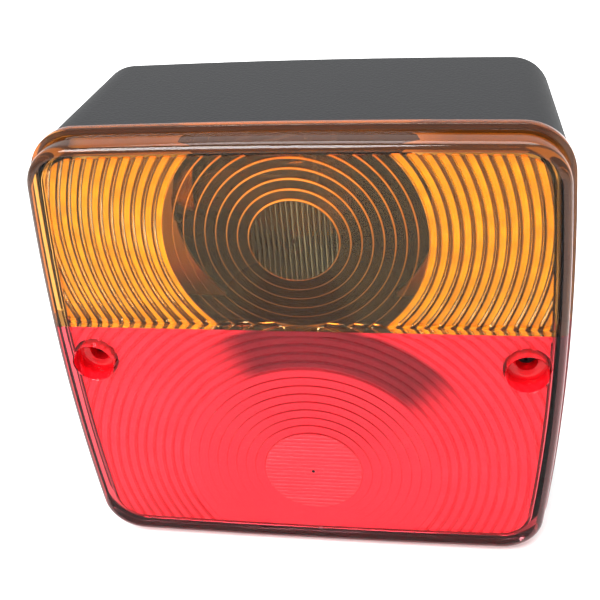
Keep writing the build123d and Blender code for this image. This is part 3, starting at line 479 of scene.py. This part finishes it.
# ---------------------------------------------------------------- materials
def object_coordinates(tree, location=(0, 0, 0)):
    """Object coordinates in metres, moved so that the given point is at zero."""
    place = add_node(tree, "ShaderNodeTexCoord")
    source = {0: place.outputs["Object"]}
    return add_node(tree, "ShaderNodeVectorMath", {"operation": "SUBTRACT"}, {1: location}, source).outputs[0]


def maths(tree, operation, a, b=None, clamp=False):
    """A Math node. Each input is a socket or a number."""
    made = add_node(tree, "ShaderNodeMath", {"operation": operation, "use_clamp": clamp})
    for index, value in enumerate(x for x in (a, b) if x is not None):
        if isinstance(value, (int, float)):
            made.inputs[index].default_value = value
        else:
            tree.links.new(value, made.inputs[index])
    return made.outputs[0]


def polished_acrylic(name, colour, ior, glow=0.0):
    """Injection-moulded acrylic, polished in the mould. glow is the share that scatters light inside."""
    surface = {"Base Color": (*colour, 1), "Transmission Weight": 1.0 - glow, "IOR": ior, "Roughness": 0.02}
    return new_material(name, surface)[0]


def product(tree, *factors):
    """Factors multiplied together."""
    result = factors[0]
    for factor in factors[1:]:
        result = maths(tree, "MULTIPLY", result, factor)
    return result


def ramp(tree, value, start, end, low=0.0, high=1.0, kind="LINEAR"):
    """From low to high while the value goes from start to end."""
    values = {"From Min": start, "From Max": end, "To Min": low, "To Max": high}
    settings = {"interpolation_type": kind}
    return add_node(tree, "ShaderNodeMapRange", settings, values, {"Value": value}).outputs[0]


def band(tree, value, low, high, soft):
    """1 while the value is between low and high, with soft edges of the given width, else 0."""
    rise = ramp(tree, value, low - soft, low + soft, kind="SMOOTHSTEP")
    fall = ramp(tree, value, high - soft, high + soft, 1.0, 0.0, "SMOOTHSTEP")
    return product(tree, rise, fall)


def noise(tree, place, grain, detail=4.0):
    """Noise with a grain in millimetres."""
    values = {"Scale": 1 / (grain * MM), "Detail": detail}
    return add_node(tree, "ShaderNodeTexNoise", values=values, links={"Vector": place}).outputs[0]


def add_bump(tree, shader, height, strength, distance):
    """Bends the shader's normal by a height. The distance is in millimetres."""
    values = {"Strength": strength, "Distance": distance * MM}
    bump = add_node(tree, "ShaderNodeBump", values=values, links={"Height": height})
    tree.links.new(bump.outputs[0], shader.inputs["Normal"])


def mixed(tree, factor, low, high):
    """Colour from low to high by a factor. Each colour is a socket or linear RGB."""
    made = add_node(tree, "ShaderNodeMix", {"data_type": "RGBA"}, links={"Factor": factor})
    for index, colour in ((6, low), (7, high)):
        if isinstance(colour, tuple):
            made.inputs[index].default_value = (*colour, 1)
        else:
            tree.links.new(colour, made.inputs[index])
    return made.outputs[2]


def optic_material(name, optic):
    """The rib side of the acrylic, with light and shade painted by radius: crests glow with a bright
    scattering colour, a painted highlight, and grooves stay clear in a deeper colour, painted shade that
    makes them look deep.

    optic is a dict: centre (height in mm), disc and field (radii in mm where rings and ribs start),
    ring_pitch, rib_pitch, flutes ("X" or "Z"), crest (end of the crest in a rib's pitch), the linear
    colours bright, groove, middle, disc_colour and line, and how far each scatters light: bright_glow,
    groove_glow, middle_glow and line_glow. arch is the start and end angle in degrees of an arch of
    painted shade over the rings with its width in mm, or None, and a separate entry holds the arch's colour.
    """
    material, tree, shader = new_material(name, {"IOR": 1.3, "Roughness": 0.06})
    place = object_coordinates(tree, (0, 0, optic["centre"] * MM))
    axes = add_node(tree, "ShaderNodeSeparateXYZ", links={0: place})
    x, z = (maths(tree, "DIVIDE", axes.outputs[axis], MM) for axis in "XZ")
    radius = maths(tree, "SQRT", maths(tree, "ADD", product(tree, x, x), product(tree, z, z)))
    in_disc = maths(tree, "LESS_THAN", radius, optic["disc"])
    in_field = maths(tree, "GREATER_THAN", radius, optic["field"])
    in_rings = maths(tree, "SUBTRACT", maths(tree, "SUBTRACT", 1.0, in_field), in_disc)

    # Ribs: a painted highlight on the crest that fades over its outer shoulder, then painted shade in the
    # groove
    from_field = maths(tree, "SUBTRACT", radius, optic["field"])
    rib_phase = maths(tree, "FRACT", maths(tree, "DIVIDE", from_field, optic["rib_pitch"]))
    crest = product(tree, band(tree, rib_phase, 0.08, optic["crest"], 0.06), in_field)

    # Painted lines on the ring edges, strongest at the top side, where z over the radius is near 1: light and
    # shade painted as if falling from above, bright on the amber and darker red on the red
    from_disc = maths(tree, "SUBTRACT", radius, optic["disc"])
    ring_phase = maths(tree, "FRACT", maths(tree, "DIVIDE", from_disc, optic["ring_pitch"]))
    sine = maths(tree, "DIVIDE", z, maths(tree, "MAXIMUM", radius, 1.0))
    painted_light_from_top = ramp(tree, sine, -0.2, 0.9, optic["line_low"])
    edge = product(tree, maths(tree, "LESS_THAN", ring_phase, 0.12), in_rings, painted_light_from_top)

    # Streaks from the melt's flow, a few millimetres apart, so that no rib is even
    crest = product(tree, crest, ramp(tree, noise(tree, place, 4.0, 3.0), 0.3, 0.7, 0.8, 1.05))

    # Colours by radius carry painted light: the crests' bright colour is a painted highlight, the darker
    # groove colour painted shade
    colour = mixed(tree, in_disc, optic["middle"], optic["disc_colour"])
    colour = mixed(tree, in_field, colour, optic["groove"])
    colour = mixed(tree, crest, colour, optic["bright"])
    glow = product(tree, in_field, optic["groove_glow"] - optic["middle_glow"])
    glow = maths(tree, "ADD", glow, optic["middle_glow"])
    glow = maths(tree, "ADD", glow, product(tree, crest, optic["bright_glow"] - optic["groove_glow"]))
    # Painted shade: a darker red arch over the first ribs above the optic
    if optic["arch"]:
        start, end, width = optic["arch"]
        angle = product(tree, maths(tree, "ARCTAN2", z, x), 180 / math.pi)
        across_ribs = band(tree, radius, optic["field"], optic["field"] + width, 0.8)
        arch = product(tree, band(tree, angle, start, end, 10.0), across_ribs, 0.85)
        colour = mixed(tree, arch, colour, optic["arch_shade"])
    # The ring lines: a painted highlight on the amber, painted shade on the red
    colour = mixed(tree, edge, colour, optic["line"])
    glow = maths(tree, "MAXIMUM", glow, product(tree, edge, optic["line_glow"]))
    tree.links.new(maths(tree, "SUBTRACT", 1.0, glow, clamp=True), shader.inputs["Transmission Weight"])
    tree.links.new(colour, shader.inputs["Base Color"])

    # Flutes 1 mm apart in the middle disc, and its centre mark: a ring and two dashed arms
    across = x if optic["flutes"] == "Z" else z
    wave = maths(tree, "ABSOLUTE", maths(tree, "SINE", product(tree, across, math.pi)))
    from_ring = maths(tree, "ABSOLUTE", maths(tree, "SUBTRACT", radius, MARK_RADIUS))
    ring = maths(tree, "LESS_THAN", from_ring, MARK_HALF_WIDTH)
    arm_length = band(tree, maths(tree, "ABSOLUTE", x), 2.2, 5.4, 0.05)
    arm = product(tree, arm_length, maths(tree, "LESS_THAN", maths(tree, "ABSOLUTE", z), MARK_HALF_WIDTH))
    height = maths(tree, "ADD", product(tree, wave, in_disc, 0.5), maths(tree, "MAXIMUM", ring, arm))
    add_bump(tree, shader, height, 1.0, 0.45)
    return material


def reflector_material(name, dish_colour, flange_colour, flange_roughness):
    """Rolled aluminium, pressed: the dish is a smooth mirror in the dish colour, the flange is left satin."""
    material, tree, shader = new_material(name, {"Metallic": 1.0})
    place = object_coordinates(tree)
    axes = add_node(tree, "ShaderNodeSeparateXYZ", links={0: place})
    behind = maths(tree, "GREATER_THAN", axes.outputs["Y"], -REFLECTOR_BACK * MM)
    add_bump(tree, shader, noise(tree, place, 1.2), 0.06, 0.1)
    colour = mixed(tree, behind, linear(flange_colour)[:3], linear(dish_colour)[:3])
    tree.links.new(colour, shader.inputs["Base Color"])
    tree.links.new(ramp(tree, behind, 0, 1, flange_roughness, 0.1), shader.inputs["Roughness"])
    return material


def scaled(colour, factor):
    """Linear RGB made darker or lighter, at most 1."""
    return tuple(min(c * factor, 1) for c in colour[:3])


def housing_material(colour):
    """Black polypropylene with a fine spark-eroded grain: dull, with a soft sheen on the grain's tops."""
    surface = {"IOR": 1.49, "Roughness": 0.55, "Specular IOR Level": 0.22}
    material, tree, shader = new_material("grained_black_polypropylene", surface)
    place = object_coordinates(tree)
    scale = {"Scale": 1 / (0.55 * MM)}
    grain = add_node(tree, "ShaderNodeTexVoronoi", {"feature": "F1"}, scale, {"Vector": place})
    fine = noise(tree, place, 0.4, 3.0)
    height = maths(tree, "ADD", grain.outputs["Distance"], product(tree, fine, 0.6))
    add_bump(tree, shader, height, 0.5, 0.12)
    tree.links.new(mixed(tree, fine, scaled(colour, 0.7), scaled(colour, 1.35)), shader.inputs["Base Color"])
    return material


def metal_material(name, colour, roughness, grain=0.25, strength=0.08):
    """A metal with fine random marks: noise of a fraction of a millimetre, in bump and roughness."""
    material, tree, shader = new_material(name, {"Base Color": linear(colour), "Metallic": 1.0})
    marks = noise(tree, object_coordinates(tree), grain)
    tree.links.new(ramp(tree, marks, 0, 1, roughness * 0.75, roughness * 1.3), shader.inputs["Roughness"])
    add_bump(tree, shader, marks, strength, 0.05)
    return material


def plain_material(name, colour, roughness, grain, strength=0.2):
    """A moulded or sawn non-metal with light noise in colour and bump. The grain is in millimetres."""
    material, tree, shader = new_material(name, {"Roughness": roughness})
    marks = noise(tree, object_coordinates(tree), grain)
    add_bump(tree, shader, marks, strength, 0.1)
    base = linear(colour)
    tree.links.new(mixed(tree, marks, scaled(base, 0.8), scaled(base, 1.2)), shader.inputs["Base Color"])
    return material


def glass_material(name):
    """Clear blown soda-lime glass."""
    surface = {"Base Color": linear("FFFFFF"), "Transmission Weight": 1.0, "IOR": 1.52, "Roughness": 0.0}
    return new_material(name, surface)[0]


def put_material(piece, material):
    """The piece's only material."""
    piece.data.materials.clear()
    piece.data.materials.append(material)


# ---------------------------------------------------------------- operators
def stand_in(piece, body, node):
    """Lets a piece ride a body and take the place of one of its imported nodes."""
    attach(piece, body)
    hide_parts(node)


# Amber: bright and line are painted highlights; groove, middle and disc_colour are darker browns, painted
# shade for the unlit inside seen through the optic
AMBER_OPTIC = {
    "disc": 8.45,
    "field": 25.0,
    "ring_pitch": 2.06,
    "flutes": "Z",
    "crest": 0.62,
    "arch": None,
    "line_low": 0.55,
    "bright": linear("FFAA19")[:3],
    "groove": linear("61300A")[:3],
    "middle": linear("95551D")[:3],
    "disc_colour": linear("7C5021")[:3],
    "line": linear("FFA650")[:3],
    "bright_glow": 0.9,
    "groove_glow": 0.3,
    "middle_glow": 0.04,
    "line_glow": 0.75,
}
# Red: line is painted shade and the arch painted shade too; the high scattering shares make the lens bright
# in itself, partly painted light for the lit reflector behind it
RED_OPTIC = {
    "disc": 10.55,
    "field": 27.4,
    "ring_pitch": 2.1,
    "flutes": "X",
    "crest": 0.72,
    # The arch and its colour are painted shade over the ribs above the optic
    "arch": (38.0, 118.0, 11.0),
    "arch_shade": linear("55161E")[:3],
    "line_low": 0.3,
    "bright": linear("FF4D5D")[:3],
    "groove": linear("E7303F")[:3],
    "middle": linear("FF4859")[:3],
    "disc_colour": linear("FF5965")[:3],
    "line": linear("AD0D1D")[:3],
    "bright_glow": 0.9,
    "groove_glow": 0.7,
    "middle_glow": 0.8,
    "line_glow": 0.7,
}
# The rim's colour, for the amber and the red moulding: a darker tint of the same acrylic, painted shade for
# the shadowed band along the lens's edges
AMBER_RIM_SHADE = linear("AD5D19")[:3]
RED_RIM_SHADE = linear("B32127")[:3]
# The ribs run past the corners, and the lens outline cuts them off
FAR = 90.0


def add_wells(sizes, red):
    """Adds the two screw wells to the red moulding and bores them."""
    depth = sizes.depth
    top, rim = depth - 1.2, depth + 1
    outside = [(36.0, 0.0), (36.0, WELL_OUTER), (top, WELL_OUTER), (top, 0.0)]
    bore = [(35.0, 0), (35.0, 1.6), (38.8, 1.6), (38.8, 2.15), (43.4, 2.15), (44.0, 3.3), (44.0, 4.2)]
    bore += [(depth - 0.15, 4.2), (depth + 0.05, 4.4), (rim, 4.4), (rim, 0)]
    steps = []
    for side in (-1, 1):
        centre = (side * sizes.well_x * MM, 0, 0)
        for operation, profile in (("UNION", outside), ("DIFFERENCE", bore)):
            scaled_profile = [(a * MM, r * MM) for a, r in profile]
            tool = turned_solid(f"{operation}_{side}", scaled_profile, 72, centre, (0, -1, 0))
            steps.append((operation, tool))
    apply_booleans(red, steps)


class BUILD_OT_lenses(bpy.types.Operator):
    """Builds the amber and the red lens with their rings, ribs, skirt and flange"""

    bl_idname = "rear_lamp.lenses"
    bl_label = "Lenses"

    def execute(self, context):
        sizes = context.scene.rear_lamp_lens
        colours = context.scene.rear_lamp_finish

        radii, heights = sawtooth(8.5, 24.9, 2.06, 0.5, 0.12)
        more, more_heights = ribs(25.0, FAR, sizes.rib_pitch, 0.75, 1.2, 0.22)
        rings, relief = [0.4, 8.4] + radii + more, [0.0, 0.0] + heights + more_heights
        amber = lens_shell("amber_lens_optic", sizes, sizes.amber_height, sizes.joint + 0.5, rings, relief)
        cut_at_joint(amber, (sizes.joint + JOINT_GAP) * MM, True)
        optic = {**AMBER_OPTIC, "centre": sizes.amber_height, "rib_pitch": sizes.rib_pitch}
        finish_lens(amber, sizes, tuple(colours.amber), AMBER_RIM_SHADE, "amber", optic)

        radii, heights = sawtooth(10.6, 27.3, 2.1, 0.3, 0.12)
        more, more_heights = ribs(27.5, FAR, sizes.rib_pitch, 0.45, 1.25, 0.2)
        rings, relief = [0.4, 10.5] + radii + more, [0.0, 0.0] + heights + more_heights
        red = lens_shell("red_lens_optic", sizes, sizes.red_height, sizes.joint - 2.6, rings, relief)
        cut_at_joint(red, (sizes.joint - JOINT_GAP) * MM, False)
        add_wells(sizes, red)
        optic = {**RED_OPTIC, "centre": sizes.red_height, "rib_pitch": sizes.rib_pitch}
        finish_lens(red, sizes, tuple(colours.red), RED_RIM_SHADE, "red", optic)
        for piece, node, slot in ((amber, "amber_lens", "amber_acrylic"), (red, "red_lens", "red_acrylic")):
            shade(piece.data, 28)
            stand_in(piece, "lens", node)
        return {"FINISHED"}


class BUILD_OT_finishes(bpy.types.Operator):
    """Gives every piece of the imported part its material"""

    bl_idname = "rear_lamp.finishes"
    bl_label = "Finishes"

    def execute(self, context):
        colours = context.scene.rear_lamp_finish
        finishes = {
            "housing_plastic": housing_material(colours.housing),
            "rubber": plain_material("moulded_epdm_rubber", "191919", 0.7, 0.3),
            "reflector_metal": metal_material("bright_rolled_aluminium", "E9EAEC", 0.14, 0.8, 0.05),
            "plated_steel": metal_material("zinc_plated_steel", "C9CCC8", 0.3),
            "black_steel": metal_material("blacked_steel", "2B2B2E", 0.38),
            "brass": metal_material("rolled_brass", "D8B866", 0.25),
            "spring_steel": metal_material("drawn_spring_steel", "B9BBBE", 0.22),
            "clear_glass": glass_material("blown_soda_lime_glass"),
            "black_glass": plain_material("pressed_black_glass", "0E0E10", 0.12, 0.6, 0.03),
            "solder": metal_material("dull_tin_solder", "BFC0C2", 0.42),
            "laminate": plain_material("sawn_phenolic_laminate", "8A5A34", 0.55, 0.25),
            "nylon": plain_material("moulded_nylon", "E6E2D6", 0.4, 0.5, 0.08),
        }
        slots = {row["node"]: row["slot"] for row in material_rows()}
        for name, node in NODES.items():
            if slots.get(name) in finishes:
                put_material(node, finishes[slots[name]])
        # The amber dish's near-black colour is painted shade, the unlit surroundings that its mirror shows
        # painted into the metal; the red dish keeps bright aluminium
        for colour, dish_look, dish in (("amber", "painted_shade", "3A3A3C"), ("red", "bright", "E6E6E8")):
            material = reflector_material(f"pressed_aluminium_{dish_look}_dish", dish, "EDEDEF", 0.35)
            put_material(NODES[f"{colour}_reflector"], material)
        return {"FINISHED"}


def material_rows():
    """Node and slot pairs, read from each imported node's own material name."""
    named = {n: o.data.materials[0].name for n, o in NODES.items() if o.data.materials}
    return [{"node": n, "slot": name.split(".")[0]} for n, name in named.items()]


class BUILD_OT_springs(bpy.types.Operator):
    """Winds the three contact springs"""

    bl_idname = "rear_lamp.springs"
    bl_label = "Contact springs"

    def execute(self, context):
        steel = metal_material("coiled_spring_wire", "B9BBBE", 0.2)
        joints = {"indicator": "indicator_push", "stop": "stop_tail_push", "tail": "stop_tail_push"}
        for name, joint in joints.items():
            node = f"{name}_contact_spring"
            low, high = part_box(node)
            wire = 0.25 * MM
            radius = (high.z - low.z) / 2 - wire
            centre = (low + high) / 2
            # The first and last sixth of the turns lie nearly flat, and the rest rises evenly
            t = np.linspace(0, 1, 260)
            turns = 5.0
            rise = np.interp(t, [0, 0.17, 0.83, 1], [0, 0.1, 0.9, 1])
            a = 2 * np.pi * turns * t
            start, run = low.x + wire, high.x - low.x - 2 * wire
            y, z = centre.y + radius * np.cos(a), centre.z + radius * np.sin(a)
            path = np.stack([start + run * rise, y, z], 1)
            piece = join_parts(f"{name}_spring_coil", [tube(path, wire, 10)])
            put_material(piece, steel)
            stand_in(piece, "housing", node)
            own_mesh(piece)
        return {"FINISHED"}


def shaped_solid(rows, axis):
    """Points in metres and faces of a closed piece from rows of (centre, radii) in millimetres."""
    axis = np.array(axis, float)
    side = np.array([0.0, 0.0, 1.0]) if abs(axis[2]) < 0.5 else np.array([1.0, 0.0, 0.0])
    other = np.cross(axis, side)
    count = len(rows[0][1])
    t = np.linspace(0, 2 * np.pi, count, endpoint=False)
    ring = np.cos(t)[:, None] * side + np.sin(t)[:, None] * other
    points = np.concatenate([(np.array(centre) + radius[:, None] * ring) * MM for centre, radius in rows])
    faces = grid_faces(len(rows), count, close_columns=True).tolist()
    faces += [list(range(count))[::-1], list(range((len(rows) - 1) * count, len(rows) * count))]
    return points, faces


def thread_rows(start, run, axis, pitch, crest, core, point, count):
    """Rows of a screw thread that runs from start along axis, in millimetres.

    At distance h and angle t the radius is core + (crest - core) * |2 * frac(h / pitch - t / 2 pi) - 1|,
    and it is never more than the point's cone allows at the far end.
    """
    t = np.linspace(0, 1, count, endpoint=False)
    rows = []
    for h in np.arange(0, run + 1e-6, pitch / 8):
        wave = np.abs(2 * np.mod(h / pitch - t, 1) - 1)
        radius = np.minimum(core + (crest - core) * wave, crest - point + (run - h))
        rows.append((np.array(start) + h * np.array(axis), radius))
    return rows


def cross_slot(x, half_x, half_z):
    """A block that cuts one arm of the cross slot 0.9 mm into a screw's head. Sizes are in mm."""
    sides = ((-1, -1), (1, -1), (1, 1), (-1, 1))
    levels = (-SCREW_TOP - 0.4, 0.9 - SCREW_TOP)
    corners = np.array([(x + a * half_x, y, b * half_z) for y in levels for a, b in sides])
    faces = [[0, 1, 2, 3], [7, 6, 5, 4], [0, 4, 5, 1], [1, 5, 6, 2], [2, 6, 7, 3], [3, 7, 4, 0]]
    tool = mesh_object(f"slot_{half_x}", corners * MM, faces)
    outward(tool.data)
    return tool


class BUILD_OT_threads(bpy.types.Operator):
    """Cuts the threads, hexagons and cross slots of the studs and the lens screws"""

    bl_idname = "rear_lamp.threads"
    bl_label = "Threads"

    def execute(self, context):
        count, axis = THREAD_STEPS, (0, 1, 0)
        t = np.linspace(0, 2 * np.pi, count, endpoint=False)
        flat = np.ones(count)
        hexagon = HEX_APOTHEM / np.cos(np.mod(t + np.pi / 6, np.pi / 3) - np.pi / 6)

        parts = []
        for x in (-STUD_X, STUD_X):
            # The head's corners are chamfered at its top, and the neck fills the back wall
            rows = [
                ((x, -STUD_HEAD, 0), np.minimum(hexagon, HEX_APOTHEM - 0.1)),
                ((x, 0.3 - STUD_HEAD, 0), np.minimum(hexagon, HEX_APOTHEM + 0.3)),
                ((x, 0.6 - STUD_HEAD, 0), hexagon),
                ((x, -STUD_WALL, 0), hexagon),
                ((x, 0.01 - STUD_WALL, 0), STUD_NECK * flat),
                ((x, -0.01, 0), STUD_NECK * flat),
                ((x, 0.0, 0), 2.1 * flat),
            ]
            rows += thread_rows((x, 0.02, 0), STUD_LENGTH, axis, STUD_PITCH, STUD_RADIUS, 2.05, 0.6, count)
            parts.append(shaped_solid(rows, axis))
        studs = join_parts("mounting_studs_threaded", parts, 35)
        put_material(studs, metal_material("zinc_plated_thread", "C9CCC8", 0.28))
        stand_in(studs, "housing", "mounting_studs")

        black = metal_material("blacked_steel_thread", "2B2B2E", 0.36)
        for side, name in ((-1, "left"), (1, "right")):
            x = side * context.scene.rear_lamp_lens.well_x
            rows = [
                ((x, -SCREW_TOP, 0), 0.89 * SCREW_HEAD * flat),
                ((x, 0.22 - SCREW_TOP, 0), SCREW_HEAD * flat),
                ((x, -SCREW_SEAT, 0), SCREW_HEAD * flat),
                ((x, 0.01 - SCREW_SEAT, 0), 1.15 * flat),
            ]
            start = (x, 0.1 - SCREW_SEAT, 0)
            rows += thread_rows(start, 19.5, axis, SCREW_PITCH, SCREW_RADIUS, SCREW_CORE, 0.7, count)
            screw = join_parts(f"{name}_screw_threaded", [shaped_solid(rows, axis)], 35)
            slots = [cross_slot(x, *halves) for halves in ((1.3, 0.35), (0.35, 1.3))]
            apply_booleans(screw, [("DIFFERENCE", tool) for tool in slots])
            shade(screw.data, 35)
            put_material(screw, black)
            stand_in(screw, f"{name}_screw", f"{name}_lens_screw")
        return {"FINISHED"}


class BUILD_OT_filaments(bpy.types.Operator):
    """Winds the bulbs' filament coils and bends their supports"""

    bl_idname = "rear_lamp.filaments"
    bl_label = "Filaments"

    def execute(self, context):
        sizes = context.scene.rear_lamp_lens
        tungsten = metal_material("drawn_tungsten", "8E8F92", 0.35)
        places = {
            "indicator": (0.0, 0.0, sizes.amber_height, "indicator_bulb"),
            "stop": (0.0, 0.0, sizes.red_height, "stop_tail_bulb"),
            "tail": (3.0, 2.8, sizes.red_height, "stop_tail_bulb"),
        }
        for name, (x, y, z, body) in places.items():
            # A coil between two supports that lean out from the stem
            t = np.linspace(0, 1, FILAMENT_TURNS * 16)
            a = 2 * np.pi * FILAMENT_TURNS * t
            height = z + (2 * t - 1) * FILAMENT_HALF
            coil = np.stack([x + 0.3 * np.cos(a), BULB_Y + y + 0.3 * np.sin(a), height], 1)
            parts = [tube(coil * MM, 0.09 * MM, 8)]
            for up in (-1, 1):
                start = np.array([STEM_X, BULB_Y + y * 0.4, z + up * FILAMENT_HALF / 3])
                end = np.array([x, BULB_Y + y, z + up * FILAMENT_HALF])
                bend = start + (end - start) * np.array([0.8, 0.6, 0.75])
                t = np.linspace(0, 1, 20)[:, None]
                path = (1 - t) ** 2 * start + 2 * t * (1 - t) * bend + t**2 * end
                parts.append(tube(path * MM, 0.2 * MM, 10))
            piece = join_parts(f"{name}_filament_coil", parts)
            put_material(piece, tungsten)
            stand_in(piece, body, f"{name}_filament")
        return {"FINISHED"}


class BUILD_OT_stage(bpy.types.Operator):
    """Lays the pale floor and sets the soft lights and the camera"""

    bl_idname = "rear_lamp.stage"
    bl_label = "Stage"

    def execute(self, context):
        look = context.scene.rear_lamp_stage
        low, high = CAD_BOX
        floor_z = low.z - look.floor_drop * MM
        points = np.array([(-3, -3, floor_z), (3, -3, floor_z), (3, 3, floor_z), (-3, 3, floor_z)], float)
        floor = mesh_object("floor", points, [[0, 1, 2, 3]])
        put_material(floor, plain_material("matt_white_board", "F4F4F4", 0.9, 30.0, 0.0))

        world = bpy.data.worlds.new("pale_room")
        context.scene.world = world
        world.use_nodes = True
        tree = world.node_tree
        tree.nodes.clear()
        values = {"Color": (1.0, 1.0, 1.0, 1), "Strength": look.sky}
        shade_node = add_node(tree, "ShaderNodeBackground", values=values)
        add_node(tree, "ShaderNodeOutputWorld", links={"Surface": shade_node.outputs[0]})

        def soft_light(name, place, target, size, power):
            data = bpy.data.lights.new(name, "AREA")
            data.shape, data.size, data.size_y, data.energy = "RECTANGLE", size[0], size[1], power
            lamp = bpy.data.objects.new(name, data)
            lamp.location = place
            lamp.rotation_euler = (Vector(target) - Vector(place)).to_track_quat("-Z", "Y").to_euler()
            context.scene.collection.objects.link(lamp)

        soft_light("top_softbox", (0.05, 0.15, 0.75), (0, 0, 0), (0.7, 0.5), look.key)
        soft_light("front_softbox", (-0.25, -0.6, 0.75), (0, 0, 0), (0.5, 0.5), look.front)

        data = bpy.data.cameras.new("camera")
        data.sensor_width, data.lens = 36.0, 57.2
        data.clip_start, data.clip_end = 0.01, 10
        camera = bpy.data.objects.new("camera", data)
        yaw, down, roll = math.radians(-10.74), math.radians(32.48), math.radians(-4.92)
        forward = Vector((math.sin(yaw) * math.cos(down), math.cos(yaw) * math.cos(down), -math.sin(down)))
        right = Vector((math.cos(yaw), -math.sin(yaw), 0))
        upward = right.cross(forward)
        tilted_right = math.cos(roll) * right + math.sin(roll) * upward
        tilted_up = -math.sin(roll) * right + math.cos(roll) * upward
        turn = Matrix((tilted_right, tilted_up, -forward)).transposed().to_4x4()
        camera.matrix_world = Matrix.Translation((0.0291, -0.198, 0.1137)) @ turn
        context.scene.collection.objects.link(camera)
        context.scene.camera = camera
        context.scene.view_settings.view_transform = "Standard"
        return {"FINISHED"}


class BUILD_PT_panel(bpy.types.Panel):
    """Lists the building steps of the rear lamp"""

    bl_label = "Rear lamp"
    bl_idname = "BUILD_PT_rear_lamp"
    bl_space_type = "VIEW_3D"
    bl_region_type = "UI"
    bl_category = "Rear lamp"

    def draw(self, context):
        for operator in OPERATORS:
            self.layout.operator(operator.bl_idname)


OPERATORS = (
    BUILD_OT_finishes,
    BUILD_OT_lenses,
    BUILD_OT_springs,
    BUILD_OT_threads,
    BUILD_OT_filaments,
    BUILD_OT_stage,
)
GROUPS = {"rear_lamp_lens": LensSizes, "rear_lamp_finish": FinishColours, "rear_lamp_stage": StageLook}


def register():
    """Registers the settings, the operators and the panel."""
    for name, group in GROUPS.items():
        bpy.utils.register_class(group)
        setattr(bpy.types.Scene, name, PointerProperty(type=group))
    for operator in OPERATORS:
        bpy.utils.register_class(operator)
    bpy.utils.register_class(BUILD_PT_panel)


def unregister():
    """Undoes register."""
    bpy.utils.unregister_class(BUILD_PT_panel)
    for operator in reversed(OPERATORS):
        bpy.utils.unregister_class(operator)
    for name, group in GROUPS.items():
        delattr(bpy.types.Scene, name)
        bpy.utils.unregister_class(group)


def main():
    """Builds the lamp and its stage."""
    register()
    for thing in list(bpy.data.objects):
        if thing.name in ("Cube", "Light", "Camera"):
            bpy.data.objects.remove(thing)
    bpy.ops.rear_lamp.finishes()
    bpy.ops.rear_lamp.lenses()
    bpy.ops.rear_lamp.springs()
    bpy.ops.rear_lamp.threads()
    bpy.ops.rear_lamp.filaments()
    bpy.ops.rear_lamp.stage()


if __name__ == "__main__":
    main()
